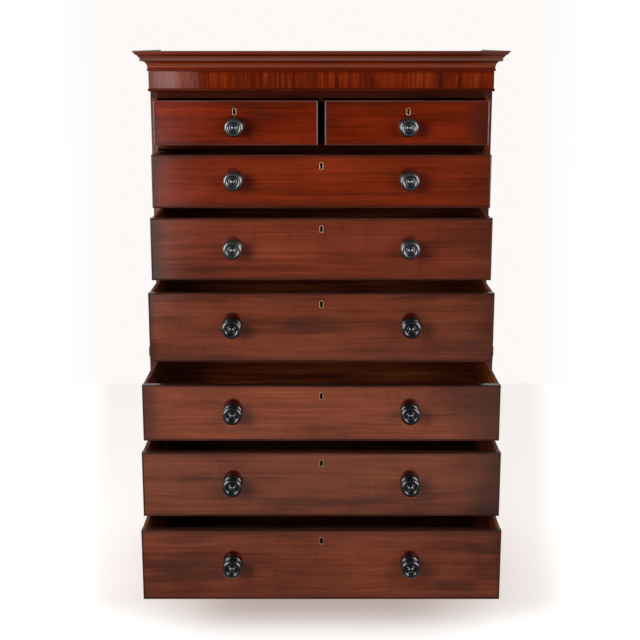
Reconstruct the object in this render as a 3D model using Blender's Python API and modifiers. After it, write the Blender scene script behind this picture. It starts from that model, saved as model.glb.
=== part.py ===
"""Mahogany chest on chest: two short and six long drawers in two carcases under a mitred cornice."""

import math

import bmesh
import bpy
from mathutils import Matrix, Vector

# Every size is in metres. Z is up, the drawers open towards -Y, and Z = 0 is the floor.
SEAT_GAP = 0.0003  # between pieces that touch
CUT_OVERRUN = 0.004  # how far a cutter runs past the wood that it opens

# Whole chest: its height, and its upper carcase, which the lower one stands out past at the front and sides
CHEST_HEIGHT = 1.7498
UPPER_WIDTH = 1.050
UPPER_DEPTH = 0.545
WAIST_STEP = 0.0235
SIDE_THICKNESS = 0.020
BOARD_THICKNESS = 0.020
BACK_THICKNESS = 0.010
BACK_REBATE = 0.010
HOUSING_DEPTH = 0.006
PARTITION_THICKNESS = 0.018
BOTTOM_RAIL_HEIGHT = 0.0428
BOTTOM_RAIL_THICKNESS = 0.022

# Dustboards: a front rail, a runner at each side and a thinner panel between
RAIL_HEIGHT = 0.0185
RAIL_DEPTH = 0.075
RUNNER_WIDTH = 0.060
PANEL_THICKNESS = 0.0085
STOP_WIDTH = 0.040
STOP_DEPTH = 0.012
STOP_HEIGHT = 0.005
STOP_SPREAD = 0.27  # share of a drawer's width from its middle to each stop

# Frieze and cornice, both proud of the upper carcase
FRIEZE_HEIGHT = 0.0605
FRIEZE_THICKNESS = 0.0235
FRIEZE_PROUD = 0.0035
FRIEZE_BEAD_RISE = 0.003
FRIEZE_BEAD_HEIGHT = 0.009
CORNICE_PROJECTION = 0.045
CORNICE_FOOTING = 0.034
ASTRAGAL_RADIUS = 0.0042
ASTRAGAL_FILLET = 0.0026
CAVETTO_BASE = 0.006
CAVETTO_HEIGHT = 0.0195
CAVETTO_REACH = 0.0175
CORONA_HEIGHT = 0.010
CYMA_HEIGHT = 0.0165
CYMA_REACH = 0.015
CORNICE_LIP = 0.004
CYMA_SWING = 0.7  # how strongly an S curve bends
MOULDING_STEPS = 6  # facets in each curve of a moulding
DUST_TOP_THICKNESS = 0.008
DUST_TOP_DROP = 0.006
CORNICE_BACK_THICKNESS = 0.018

# Waist and base mouldings, and the bracket feet
WAIST_HEIGHT = 0.0359
WAIST_ROUND = 0.010
WAIST_PROUD = 0.002
BASE_MOULDING_HEIGHT = 0.034
BASE_MOULDING_REACH = 0.016
BASE_MOULDING_FACE = 0.014
BASE_MOULDING_FOOTING = 0.040
FOOT_HEIGHT = 0.1307
FOOT_LENGTH = 0.165
FOOT_SOLE = 0.075
FOOT_THICKNESS = 0.022
FOOT_BAND = 0.030
FOOT_INSET = 0.004  # behind the face of the base moulding
FOOT_STEPS = 8
GLUE_BLOCK = 0.045

# Drawer fronts, from the top of the chest down: the share of their joint height that each takes,
# and how far each stands open
SHORT_SHARE = 0.1050
UPPER_LONG_1_SHARE = 0.1248
UPPER_LONG_2_SHARE = 0.1465
UPPER_LONG_3_SHARE = 0.1619
LOWER_LONG_1_SHARE = 0.1343
LOWER_LONG_2_SHARE = 0.1558
LOWER_LONG_3_SHARE = 0.1717
SHORT_PULL = 0.106
UPPER_LONG_1_PULL = 0.181
UPPER_LONG_2_PULL = 0.245
UPPER_LONG_3_PULL = 0.332
LOWER_LONG_1_PULL = 0.332
LOWER_LONG_2_PULL = 0.379
LOWER_LONG_3_PULL = 0.437

# Drawer construction
DRAWER_SEAT = 0.0005
DRAWER_HEADROOM = 0.0025
DRAWER_SIDE_GAP = 0.0015
DRAWER_REAR_GAP = 0.015
FRONT_THICKNESS = 0.022
COCKBEAD_WIDTH = 0.004
COCKBEAD_PROUD = 0.002
COCKBEAD_ROUND = 0.0016
LINING_THICKNESS = 0.010
LINING_DROP = 0.004  # below the top of the front
DRAWER_BACK_THICKNESS = 0.010
DRAWER_BACK_DROP = 0.008  # below the top of the linings
DRAWER_BACK_INSET = 0.004
DRAWER_BOTTOM_THICKNESS = 0.007
DRAWER_BOTTOM_RISE = 0.008
DRAWER_BOTTOM_OVERHANG = 0.002
GROOVE_DEPTH = 0.005
DOVETAIL_LAP = 0.006
DOVETAIL_PITCH = 0.038
DOVETAIL_FLARE = 0.0027
DOVETAIL_PIN = 0.004

# Turned knobs, measured out from the face of the front
KNOB_SPACING = 0.521
KNOB_RISE = 0.0035  # above the middle of a long front
SHORT_KNOB_DROP = 0.0118  # below the middle of a short front
KNOB_RADIUS = 0.0282
KNOB_PROJECTION = 0.048
KNOB_ROSE_RADIUS = 0.0252
KNOB_ROSE_THICKNESS = 0.006
KNOB_NECK_RADIUS = 0.016
KNOB_NECK_REACH = 0.019
KNOB_HEAD_REACH = 0.029
KNOB_RING_RADIUS = 0.0140
KNOB_RING_DEPTH = 0.003
KNOB_BOSS_SHARE = 0.95  # width of the domed boss as a share of the ring round it
KNOB_TENON_RADIUS = 0.007
KNOB_STEPS = 14  # facets round a knob
KNOB_RIM_STEPS = 6
KNOB_BOSS_STEPS = 3

# Locks: a case let into the back of the front, and a keyhole lined out to a brass escutcheon
KEYHOLE_DROP = 0.028  # below the top of the front
KEYHOLE_RADIUS = 0.0050
KEYHOLE_SLOT_SHARE = 0.72  # width of the slot as a share of the round's
KEYHOLE_LENGTH = 0.0145  # from the middle of the round down to the end of the slot
KEYHOLE_STEPS = 10
ESCUTCHEON_RIM = 0.0020
ESCUTCHEON_PROUD = 0.0006
LOCK_WIDTH = 0.064
LOCK_DEPTH = 0.010
LOCK_BELOW_KEYHOLE = 0.026
LOCK_BACK_WALL = 0.002

# Colour, roughness and metallic value of each finish
MAHOGANY = ((0.130, 0.036, 0.016, 1.0), 0.30, 0.0)
FRONT_MAHOGANY = ((0.190, 0.050, 0.020, 1.0), 0.26, 0.0)
CROSS_GRAIN = ((0.160, 0.050, 0.024, 1.0), 0.30, 0.0)
LINING_WOOD = ((0.150, 0.075, 0.035, 1.0), 0.65, 0.0)
BACKING_WOOD = ((0.200, 0.120, 0.062, 1.0), 0.75, 0.0)
EBONISED = ((0.008, 0.008, 0.010, 1.0), 0.18, 0.0)
WORN_BRASS = ((0.420, 0.270, 0.160, 1.0), 0.42, 1.0)

# Levels and planes worked out from the sizes above
UPPER_HALF = UPPER_WIDTH / 2
LOWER_HALF = UPPER_HALF + WAIST_STEP
UPPER_OPENING = UPPER_HALF - SIDE_THICKNESS
LOWER_OPENING = LOWER_HALF - SIDE_THICKNESS
UPPER_FRONT = 0.0
LOWER_FRONT = UPPER_FRONT - WAIST_STEP
BACK = UPPER_FRONT + UPPER_DEPTH
INNER_BACK = BACK - BACK_THICKNESS - SEAT_GAP
BASE_TOP = FOOT_HEIGHT + SEAT_GAP + BASE_MOULDING_HEIGHT
CAVETTO_FOOT = 2 * ASTRAGAL_RADIUS + ASTRAGAL_FILLET
CORNICE_HEIGHT = CAVETTO_FOOT + CAVETTO_HEIGHT + CORONA_HEIGHT + CYMA_HEIGHT + CORNICE_LIP

# The fronts share what is left of the height between the base and the cornice.
DRAWER_ROWS = 7
DUSTBOARD_ROWS = 5
BETWEEN_FRONTS = DRAWER_ROWS * (DRAWER_SEAT + DRAWER_HEADROOM) + DUSTBOARD_ROWS * RAIL_HEIGHT
WAIST_BOARDS = BOARD_THICKNESS + SEAT_GAP + BOTTOM_RAIL_HEIGHT
HEAD_HEIGHT = BOARD_THICKNESS + SEAT_GAP + FRIEZE_HEIGHT + SEAT_GAP + CORNICE_HEIGHT
FRONTS_HEIGHT = CHEST_HEIGHT - BASE_TOP - BETWEEN_FRONTS - WAIST_BOARDS - HEAD_HEIGHT
SHORT_HEIGHT = FRONTS_HEIGHT * SHORT_SHARE
UPPER_LONG_1_HEIGHT = FRONTS_HEIGHT * UPPER_LONG_1_SHARE
UPPER_LONG_2_HEIGHT = FRONTS_HEIGHT * UPPER_LONG_2_SHARE
UPPER_LONG_3_HEIGHT = FRONTS_HEIGHT * UPPER_LONG_3_SHARE
LOWER_LONG_1_HEIGHT = FRONTS_HEIGHT * LOWER_LONG_1_SHARE
LOWER_LONG_2_HEIGHT = FRONTS_HEIGHT * LOWER_LONG_2_SHARE
LOWER_LONG_3_HEIGHT = FRONTS_HEIGHT * LOWER_LONG_3_SHARE


def bay_height(front_height):
    """Height of the opening that a front of this height slides in."""
    return DRAWER_SEAT + front_height + DRAWER_HEADROOM


LOWER_3_FLOOR = BASE_TOP
LOWER_2_FLOOR = LOWER_3_FLOOR + bay_height(LOWER_LONG_3_HEIGHT) + RAIL_HEIGHT
LOWER_1_FLOOR = LOWER_2_FLOOR + bay_height(LOWER_LONG_2_HEIGHT) + RAIL_HEIGHT
WAIST_BASE = LOWER_1_FLOOR + bay_height(LOWER_LONG_1_HEIGHT)
UPPER_BASE = WAIST_BASE + BOARD_THICKNESS + SEAT_GAP
UPPER_3_FLOOR = UPPER_BASE + BOTTOM_RAIL_HEIGHT
UPPER_2_FLOOR = UPPER_3_FLOOR + bay_height(UPPER_LONG_3_HEIGHT) + RAIL_HEIGHT
UPPER_1_FLOOR = UPPER_2_FLOOR + bay_height(UPPER_LONG_2_HEIGHT) + RAIL_HEIGHT
SHORT_FLOOR = UPPER_1_FLOOR + bay_height(UPPER_LONG_1_HEIGHT) + RAIL_HEIGHT
TOP_BOARD_BASE = SHORT_FLOOR + bay_height(SHORT_HEIGHT)
UPPER_TOP = TOP_BOARD_BASE + BOARD_THICKNESS
FRIEZE_BASE = UPPER_TOP + SEAT_GAP
CORNICE_BASE = FRIEZE_BASE + FRIEZE_HEIGHT + SEAT_GAP

UPPER_DRAWER_LENGTH = INNER_BACK - UPPER_FRONT - DRAWER_REAR_GAP
LOWER_DRAWER_LENGTH = INNER_BACK - LOWER_FRONT - DRAWER_REAR_GAP
LONG_UPPER_WIDTH = 2 * (UPPER_OPENING - DRAWER_SIDE_GAP)
LONG_LOWER_WIDTH = 2 * (LOWER_OPENING - DRAWER_SIDE_GAP)
SHORT_WIDTH = UPPER_OPENING - PARTITION_THICKNESS / 2 - 2 * DRAWER_SIDE_GAP
SHORT_CENTRE = (UPPER_OPENING + PARTITION_THICKNESS / 2) / 2

# Each drawer: name, middle, carcase front, floor of its bay, width, height, length and pull
DRAWERS = (
    ("short_left", -SHORT_CENTRE, UPPER_FRONT, SHORT_FLOOR, SHORT_WIDTH,
     SHORT_HEIGHT, UPPER_DRAWER_LENGTH, SHORT_PULL),
    ("short_right", SHORT_CENTRE, UPPER_FRONT, SHORT_FLOOR, SHORT_WIDTH,
     SHORT_HEIGHT, UPPER_DRAWER_LENGTH, SHORT_PULL),
    ("upper_long_1", 0.0, UPPER_FRONT, UPPER_1_FLOOR, LONG_UPPER_WIDTH,
     UPPER_LONG_1_HEIGHT, UPPER_DRAWER_LENGTH, UPPER_LONG_1_PULL),
    ("upper_long_2", 0.0, UPPER_FRONT, UPPER_2_FLOOR, LONG_UPPER_WIDTH,
     UPPER_LONG_2_HEIGHT, UPPER_DRAWER_LENGTH, UPPER_LONG_2_PULL),
    ("upper_long_3", 0.0, UPPER_FRONT, UPPER_3_FLOOR, LONG_UPPER_WIDTH,
     UPPER_LONG_3_HEIGHT, UPPER_DRAWER_LENGTH, UPPER_LONG_3_PULL),
    ("lower_long_1", 0.0, LOWER_FRONT, LOWER_1_FLOOR, LONG_LOWER_WIDTH,
     LOWER_LONG_1_HEIGHT, LOWER_DRAWER_LENGTH, LOWER_LONG_1_PULL),
    ("lower_long_2", 0.0, LOWER_FRONT, LOWER_2_FLOOR, LONG_LOWER_WIDTH,
     LOWER_LONG_2_HEIGHT, LOWER_DRAWER_LENGTH, LOWER_LONG_2_PULL),
    ("lower_long_3", 0.0, LOWER_FRONT, LOWER_3_FLOOR, LONG_LOWER_WIDTH,
     LOWER_LONG_3_HEIGHT, LOWER_DRAWER_LENGTH, LOWER_LONG_3_PULL),
)

# The origin is under the middle of the open chest, from the foremost knob to the back.
FOREMOST = min(front - pull for _, _, front, _, _, _, _, pull in DRAWERS) - KNOB_PROJECTION
MIDDLE_Y = (FOREMOST + BACK) / 2


def clear_scene():
    """Remove every object of the opened scene."""
    for obj in list(bpy.data.objects):
        bpy.data.objects.remove(obj, do_unlink=True)


def new_collection(name):
    """A collection of this name in the scene."""
    collection = bpy.data.collections.new(name)
    bpy.context.scene.collection.children.link(collection)
    return collection


def new_empty(name, location, parent=None):
    """An empty that carries the pieces of one assembly."""
    empty = bpy.data.objects.new(name, None)
    empty.location = location
    empty.parent = parent
    PARTS.objects.link(empty)
    return empty


def new_object(name, bm, parent):
    """A part from a finished bmesh, in the frame of its parent."""
    mesh = bpy.data.meshes.new(name)
    bm.to_mesh(mesh)
    bm.free()
    obj = bpy.data.objects.new(name, mesh)
    obj.parent = parent
    PARTS.objects.link(obj)
    return obj


def finish(obj, look):
    """Give a part its own Principled material."""
    colour, roughness, metallic = look
    material = bpy.data.materials.new(obj.name)
    material.diffuse_color = colour
    material.use_nodes = True
    shader = material.node_tree.nodes["Principled BSDF"]
    shader.inputs["Base Color"].default_value = colour
    shader.inputs["Roughness"].default_value = roughness
    shader.inputs["Metallic"].default_value = metallic
    obj.data.materials.append(material)
    return obj


def box(name, low, high, parent):
    """A cuboid between two corners."""
    low = Vector(low)
    high = Vector(high)
    bm = bmesh.new()
    bmesh.ops.create_cube(bm, size=1.0)
    bmesh.ops.scale(bm, vec=high - low, verts=bm.verts)
    bmesh.ops.translate(bm, vec=(low + high) / 2, verts=bm.verts)
    return new_object(name, bm, parent)


def baked(obj):
    """The evaluated mesh of an object, in its own frame."""
    bpy.context.view_layer.update()
    graph = bpy.context.evaluated_depsgraph_get()
    return bpy.data.meshes.new_from_object(obj.evaluated_get(graph))


def plate(name, outline, start, end, axis, parent):
    """A flat outline made thick from start to end along an axis.

    Its points are (y, z) along X, (x, z) along Y and (x, y) along Z.
    """
    curve = bpy.data.curves.new(name, "CURVE")
    curve.dimensions = "2D"
    curve.fill_mode = "BOTH"
    curve.extrude = (end - start) / 2
    spline = curve.splines.new("POLY")
    spline.points.add(len(outline) - 1)
    spline.use_cyclic_u = True
    for point, (across, up) in zip(spline.points, outline):
        point.co = (across, up, 0.0, 1.0)
    guide = bpy.data.objects.new(name, curve)
    PARTS.objects.link(guide)
    bm = bmesh.new()
    mesh = baked(guide)
    bm.from_mesh(mesh)
    bpy.data.meshes.remove(mesh)
    bpy.data.curves.remove(curve)
    bmesh.ops.remove_doubles(bm, verts=bm.verts, dist=0.00001)
    turns = {
        "X": ((0, 0, 1), (1, 0, 0), (0, 1, 0)),
        "Y": ((1, 0, 0), (0, 0, -1), (0, 1, 0)),
        "Z": ((1, 0, 0), (0, 1, 0), (0, 0, 1)),
    }
    shift = Vector((axis == "X", axis == "Y", axis == "Z")) * (start + end) / 2
    bm.transform(Matrix.Translation(shift) @ Matrix(turns[axis]).to_4x4())
    bmesh.ops.recalc_face_normals(bm, faces=bm.faces)
    return new_object(name, bm, parent)


def turned(name, profile, steps, parent):
    """A profile of (radius, height) points, top to bottom, turned round the local Z axis."""
    bm = bmesh.new()
    points = [bm.verts.new((radius, 0.0, height)) for radius, height in profile]
    for upper, lower in zip(points, points[1:]):
        bm.edges.new((upper, lower))
    obj = new_object(name, bm, parent)
    screw = obj.modifiers.new("turning", "SCREW")
    screw.axis = "Z"
    screw.steps = steps
    screw.render_steps = steps
    screw.use_merge_vertices = True
    screw.merge_threshold = 0.0001
    screw.use_smooth_shade = True
    return obj


def mitred(name, profile, half_width, front, back, parent):
    """A moulding down both sides and across the front, mitred at the corners.

    The profile's points are (projection past the carcase, height).
    """
    stations = (
        lambda reach: (-half_width - reach, back),
        lambda reach: (-half_width - reach, front - reach),
        lambda reach: (half_width + reach, front - reach),
        lambda reach: (half_width + reach, back),
    )
    bm = bmesh.new()
    end_cap = bm.faces.new([bm.verts.new((*stations[0](reach), up)) for reach, up in profile])
    section = end_cap
    for station in stations[1:]:
        grown = bmesh.ops.extrude_face_region(bm, geom=[section])["geom"]
        if section is not end_cap:
            bm.faces.remove(section)
        section = next(item for item in grown if isinstance(item, bmesh.types.BMFace))
        for vertex in section.verts:
            vertex.co.xy = station(abs(vertex.co.x) - half_width)
    bmesh.ops.recalc_face_normals(bm, faces=bm.faces)
    return new_object(name, bm, parent)


def cut(target, *cutters):
    """Cut each cutter out of the target, and put the cutters away."""
    for cutter in cutters:
        PARTS.objects.unlink(cutter)
        CUTTERS.objects.link(cutter)
        cutter.hide_render = True
        cutter.display_type = "WIRE"
        modifier = target.modifiers.new(cutter.name, "BOOLEAN")
        modifier.operation = "DIFFERENCE"
        modifier.object = cutter
    return target


def fuse(target, *members):
    """Join the members to the target as one body."""
    for member in members:
        modifier = target.modifiers.new(member.name, "BOOLEAN")
        modifier.operation = "UNION"
        modifier.object = member
    mesh = baked(target)
    target.modifiers.clear()
    target.data = mesh
    for member in members:
        bpy.data.objects.remove(member)
    return target


def arc(centre, reach, rise, start, end, steps):
    """Points of an elliptical arc from start to end, in degrees, ends included."""
    angles = [math.radians(start + (end - start) * i / steps) for i in range(steps + 1)]
    return [(centre[0] + reach * math.cos(a), centre[1] + rise * math.sin(a)) for a in angles]


def cyma(start, end):
    """Points of an S curve that leaves and arrives upright, ends included."""
    points = []
    for i in range(MOULDING_STEPS + 1):
        share = i / MOULDING_STEPS
        eased = share - math.sin(2 * math.pi * share) / (2 * math.pi) * CYMA_SWING
        across = start[0] + (end[0] - start[0]) * share
        points.append((across, start[1] + (end[1] - start[1]) * eased))
    return points


def frieze_profile():
    """Section of the frieze: a flat board over a bead."""
    bead_middle = (FRIEZE_PROUD, FRIEZE_BASE + FRIEZE_BEAD_HEIGHT / 2)
    bead = arc(bead_middle, FRIEZE_BEAD_RISE, FRIEZE_BEAD_HEIGHT / 2, -90, 90, MOULDING_STEPS)
    top = FRIEZE_BASE + FRIEZE_HEIGHT
    inner = FRIEZE_PROUD - FRIEZE_THICKNESS
    return [(inner, FRIEZE_BASE), *bead, (FRIEZE_PROUD, top), (inner, top)]


def cornice_profile():
    """Section of the cornice, bottom to top: astragal, cavetto, corona, cyma and lip."""
    astragal_middle = (FRIEZE_PROUD, CORNICE_BASE + ASTRAGAL_RADIUS)
    astragal = arc(astragal_middle, ASTRAGAL_RADIUS, ASTRAGAL_RADIUS, -90, 90, MOULDING_STEPS)
    cavetto_foot = CORNICE_BASE + CAVETTO_FOOT
    hollow_middle = (CAVETTO_BASE + CAVETTO_REACH, cavetto_foot)
    cavetto = arc(hollow_middle, CAVETTO_REACH, CAVETTO_HEIGHT, 180, 90, MOULDING_STEPS)
    corona_foot = cavetto_foot + CAVETTO_HEIGHT
    corona_face = CORNICE_PROJECTION - CYMA_REACH - CORNICE_LIP
    corona_top = corona_foot + CORONA_HEIGHT
    lip_base = corona_top + CYMA_HEIGHT
    rise_end = (CORNICE_PROJECTION - CORNICE_LIP / 2, lip_base)
    rise = cyma((corona_face + CORNICE_LIP / 2, corona_top), rise_end)
    lip_top = lip_base + CORNICE_LIP
    outline = [(-CORNICE_FOOTING, CORNICE_BASE), *astragal]
    outline += [(CAVETTO_BASE, cavetto_foot - ASTRAGAL_FILLET), *cavetto]
    outline += [(corona_face, corona_foot), (corona_face, corona_top), *rise]
    outline += [(CORNICE_PROJECTION, lip_base), (CORNICE_PROJECTION, lip_top), (-CORNICE_FOOTING, lip_top)]
    return outline


def waist_profile():
    """Section of the waist moulding: a band with a rounded upper edge."""
    inner = SEAT_GAP - WAIST_STEP
    top = WAIST_BASE + WAIST_HEIGHT
    shoulder = (WAIST_PROUD - WAIST_ROUND, top - WAIST_ROUND)
    edge = arc(shoulder, WAIST_ROUND, WAIST_ROUND, 0, 90, MOULDING_STEPS)
    return [(inner, WAIST_BASE), (WAIST_PROUD, WAIST_BASE), *edge, (inner, top)]


def base_profile():
    """Section of the base moulding: a flat face under a cyma."""
    foot = BASE_TOP - BASE_MOULDING_HEIGHT
    face_top = foot + BASE_MOULDING_FACE
    neck = BASE_MOULDING_REACH / 4
    rise = cyma((BASE_MOULDING_REACH - neck / 2, face_top), (neck, BASE_TOP))
    inner = -BASE_MOULDING_FOOTING
    face = [(BASE_MOULDING_REACH, foot), (BASE_MOULDING_REACH, face_top)]
    return [(inner, foot), *face, *rise, (inner, BASE_TOP)]


def carcase_side(name, sign, half_width, front, base, top, floors):
    """One upright side, rebated for the back and housed for each board, given as (level, thickness)."""
    inner = half_width - SIDE_THICKNESS
    span = sorted((sign * inner, sign * half_width))
    side = box(name, (span[0], front, base), (span[1], BACK, top), CHEST)
    cutters = []
    for index, (level, thickness) in enumerate(floors):
        groove = sorted((sign * (inner - CUT_OVERRUN), sign * (inner + HOUSING_DEPTH + SEAT_GAP)))
        low = (groove[0], front - CUT_OVERRUN, level - SEAT_GAP)
        high = (groove[1], INNER_BACK + SEAT_GAP, level + thickness + SEAT_GAP)
        cutters.append(box(f"{name}_housing_{index + 1}", low, high, CHEST))
    rebate = sorted((sign * (inner - CUT_OVERRUN), sign * (inner + BACK_REBATE)))
    low = (rebate[0], BACK - BACK_THICKNESS - SEAT_GAP, base - CUT_OVERRUN)
    high = (rebate[1], BACK + CUT_OVERRUN, top + CUT_OVERRUN)
    cutters.append(box(f"{name}_rebate", low, high, CHEST))
    return finish(cut(side, *cutters), MAHOGANY)


def drawer_stops(name, middles, width, front, floor):
    """The blocks that stop a front flush with its carcase: two under each drawer."""
    stops = []
    near = front + FRONT_THICKNESS + SEAT_GAP
    for middle in middles:
        for side in (-1, 1):
            across = middle + side * STOP_SPREAD * width
            low = (across - STOP_WIDTH / 2, near, floor - STOP_HEIGHT)
            high = (across + STOP_WIDTH / 2, near + STOP_DEPTH, floor + STOP_HEIGHT)
            stops.append(box(f"{name}_stop_{len(stops) + 1}", low, high, CHEST))
    return stops


def dustboard(name, opening, front, floor, middles, width):
    """A board between two drawer bays: front rail, side runners and a thin panel, with stops on top."""
    half = opening + HOUSING_DEPTH
    board = box(name, (-half, front, floor - RAIL_HEIGHT), (half, INNER_BACK - SEAT_GAP, floor), CHEST)
    fuse(board, *drawer_stops(name, middles, width, front, floor))
    recess = (RAIL_HEIGHT - PANEL_THICKNESS) / 2
    reach = opening - RUNNER_WIDTH
    span = (front + RAIL_DEPTH, INNER_BACK - RUNNER_WIDTH)
    over_low = (-reach, span[0], floor - recess)
    over = box(f"{name}_upper_recess", over_low, (reach, span[1], floor + CUT_OVERRUN), CHEST)
    under_low = (-reach, span[0], floor - RAIL_HEIGHT - CUT_OVERRUN)
    under_high = (reach, span[1], floor - RAIL_HEIGHT + recess)
    under = box(f"{name}_lower_recess", under_low, under_high, CHEST)
    return finish(cut(board, over, under), MAHOGANY)


def upper_carcase():
    """Sides, boards, partition and back of the upper chest."""
    floors = [(level - RAIL_HEIGHT, RAIL_HEIGHT) for level in (SHORT_FLOOR, UPPER_1_FLOOR, UPPER_2_FLOOR)]
    floors.append((UPPER_3_FLOOR - BOARD_THICKNESS, BOARD_THICKNESS))
    floors.append((TOP_BOARD_BASE, BOARD_THICKNESS))
    carcase_side("upper_left_side", -1, UPPER_HALF, UPPER_FRONT, UPPER_BASE, UPPER_TOP, floors)
    carcase_side("upper_right_side", 1, UPPER_HALF, UPPER_FRONT, UPPER_BASE, UPPER_TOP, floors)

    half = UPPER_OPENING + HOUSING_DEPTH
    rear = INNER_BACK - SEAT_GAP
    top_board = box("upper_top_board", (-half, UPPER_FRONT, TOP_BOARD_BASE), (half, rear, UPPER_TOP), CHEST)
    finish(top_board, MAHOGANY)

    board_low = (-half, UPPER_FRONT, UPPER_3_FLOOR - BOARD_THICKNESS)
    bottom_board = box("upper_bottom_board", board_low, (half, rear, UPPER_3_FLOOR), CHEST)
    rail_half = UPPER_OPENING - SEAT_GAP
    rail_low = (-rail_half, UPPER_FRONT, UPPER_BASE)
    rail_high = (rail_half, UPPER_FRONT + BOTTOM_RAIL_THICKNESS, UPPER_3_FLOOR - BOARD_THICKNESS / 2)
    rail = box("upper_bottom_rail", rail_low, rail_high, CHEST)
    stops = drawer_stops("upper_bottom", (0.0,), LONG_UPPER_WIDTH, UPPER_FRONT, UPPER_3_FLOOR)
    finish(fuse(bottom_board, rail, *stops), MAHOGANY)

    short_middles = (-SHORT_CENTRE, SHORT_CENTRE)
    dustboard("upper_dustboard_1", UPPER_OPENING, UPPER_FRONT, SHORT_FLOOR, short_middles, SHORT_WIDTH)
    dustboard("upper_dustboard_2", UPPER_OPENING, UPPER_FRONT, UPPER_1_FLOOR, (0.0,), LONG_UPPER_WIDTH)
    dustboard("upper_dustboard_3", UPPER_OPENING, UPPER_FRONT, UPPER_2_FLOOR, (0.0,), LONG_UPPER_WIDTH)

    partition_low = (-PARTITION_THICKNESS / 2, UPPER_FRONT, SHORT_FLOOR + SEAT_GAP)
    partition_high = (PARTITION_THICKNESS / 2, rear, TOP_BOARD_BASE - SEAT_GAP)
    finish(box("short_drawer_partition", partition_low, partition_high, CHEST), MAHOGANY)

    back_half = UPPER_OPENING + BACK_REBATE - SEAT_GAP
    back_low = (-back_half, BACK - BACK_THICKNESS, UPPER_BASE)
    back_high = (back_half, BACK, CORNICE_BASE - SEAT_GAP)
    finish(box("upper_back_panel", back_low, back_high, CHEST), BACKING_WOOD)


def cornice_unit():
    """Frieze and cornice, mitred round the front and both sides of the upper chest."""
    frieze = mitred("frieze", frieze_profile(), UPPER_HALF, UPPER_FRONT, INNER_BACK, CHEST)
    finish(frieze, CROSS_GRAIN)
    profile = cornice_profile()
    cornice = mitred("cornice", profile, UPPER_HALF, UPPER_FRONT, BACK, CHEST)
    top = max(up for _, up in profile) - DUST_TOP_DROP
    reach = UPPER_HALF - CORNICE_FOOTING / 2
    dust_low = (-reach, UPPER_FRONT + CORNICE_FOOTING / 2, top - DUST_TOP_THICKNESS)
    dust_top = box("cornice_dust_top", dust_low, (reach, BACK - CORNICE_BACK_THICKNESS / 2, top), CHEST)
    rail_low = (-reach, BACK - CORNICE_BACK_THICKNESS, CORNICE_BASE + SEAT_GAP)
    back_rail = box("cornice_back_rail", rail_low, (reach, BACK - SEAT_GAP, top + SEAT_GAP), CHEST)
    finish(fuse(cornice, dust_top, back_rail), MAHOGANY)


def lower_carcase():
    """Sides, boards, mouldings, back and feet of the lower chest."""
    floors = [(level - RAIL_HEIGHT, RAIL_HEIGHT) for level in (LOWER_1_FLOOR, LOWER_2_FLOOR)]
    base = BASE_TOP + SEAT_GAP
    top = WAIST_BASE - SEAT_GAP
    carcase_side("lower_left_side", -1, LOWER_HALF, LOWER_FRONT, base, top, floors)
    carcase_side("lower_right_side", 1, LOWER_HALF, LOWER_FRONT, base, top, floors)

    waist = mitred("lower_top_board", waist_profile(), LOWER_HALF, LOWER_FRONT, BACK, CHEST)
    lap = WAIST_STEP / 2
    board_low = (lap - LOWER_HALF, LOWER_FRONT + lap, WAIST_BASE)
    board_high = (LOWER_HALF - lap, BACK - SEAT_GAP, WAIST_BASE + BOARD_THICKNESS)
    finish(fuse(waist, box("lower_top_panel", board_low, board_high, CHEST)), MAHOGANY)

    base_run = mitred("lower_bottom_board", base_profile(), LOWER_HALF, LOWER_FRONT, BACK, CHEST)
    lap = BASE_MOULDING_FOOTING / 2
    board_low = (lap - LOWER_HALF, LOWER_FRONT + lap, BASE_TOP - BOARD_THICKNESS)
    board = box("lower_bottom_panel", board_low, (LOWER_HALF - lap, BACK - SEAT_GAP, BASE_TOP), CHEST)
    stops = drawer_stops("lower_bottom", (0.0,), LONG_LOWER_WIDTH, LOWER_FRONT, LOWER_3_FLOOR)
    finish(fuse(base_run, board, *stops), MAHOGANY)

    dustboard("lower_dustboard_1", LOWER_OPENING, LOWER_FRONT, LOWER_1_FLOOR, (0.0,), LONG_LOWER_WIDTH)
    dustboard("lower_dustboard_2", LOWER_OPENING, LOWER_FRONT, LOWER_2_FLOOR, (0.0,), LONG_LOWER_WIDTH)

    back_half = LOWER_OPENING + BACK_REBATE - SEAT_GAP
    back_low = (-back_half, BACK - BACK_THICKNESS, base)
    finish(box("lower_back_panel", back_low, (back_half, BACK, top), CHEST), BACKING_WOOD)

    bracket_foot("front_left_foot", -1, -1)
    bracket_foot("front_right_foot", 1, -1)
    bracket_foot("back_left_foot", -1, 1)
    bracket_foot("back_right_foot", 1, 1)


def bracket_hollow(corner, inward):
    """Outline of what is sawn from under a bracket, between its sole and its upper band."""
    edge = FOOT_LENGTH + CUT_OVERRUN
    band = FOOT_HEIGHT - FOOT_BAND
    curve = arc((FOOT_LENGTH, 0.0), FOOT_LENGTH - FOOT_SOLE, band, 180, 90, FOOT_STEPS)
    points = [(FOOT_SOLE, -CUT_OVERRUN), *curve, (edge, band), (edge, -CUT_OVERRUN)]
    return [(corner + inward * across, up) for across, up in points]


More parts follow.
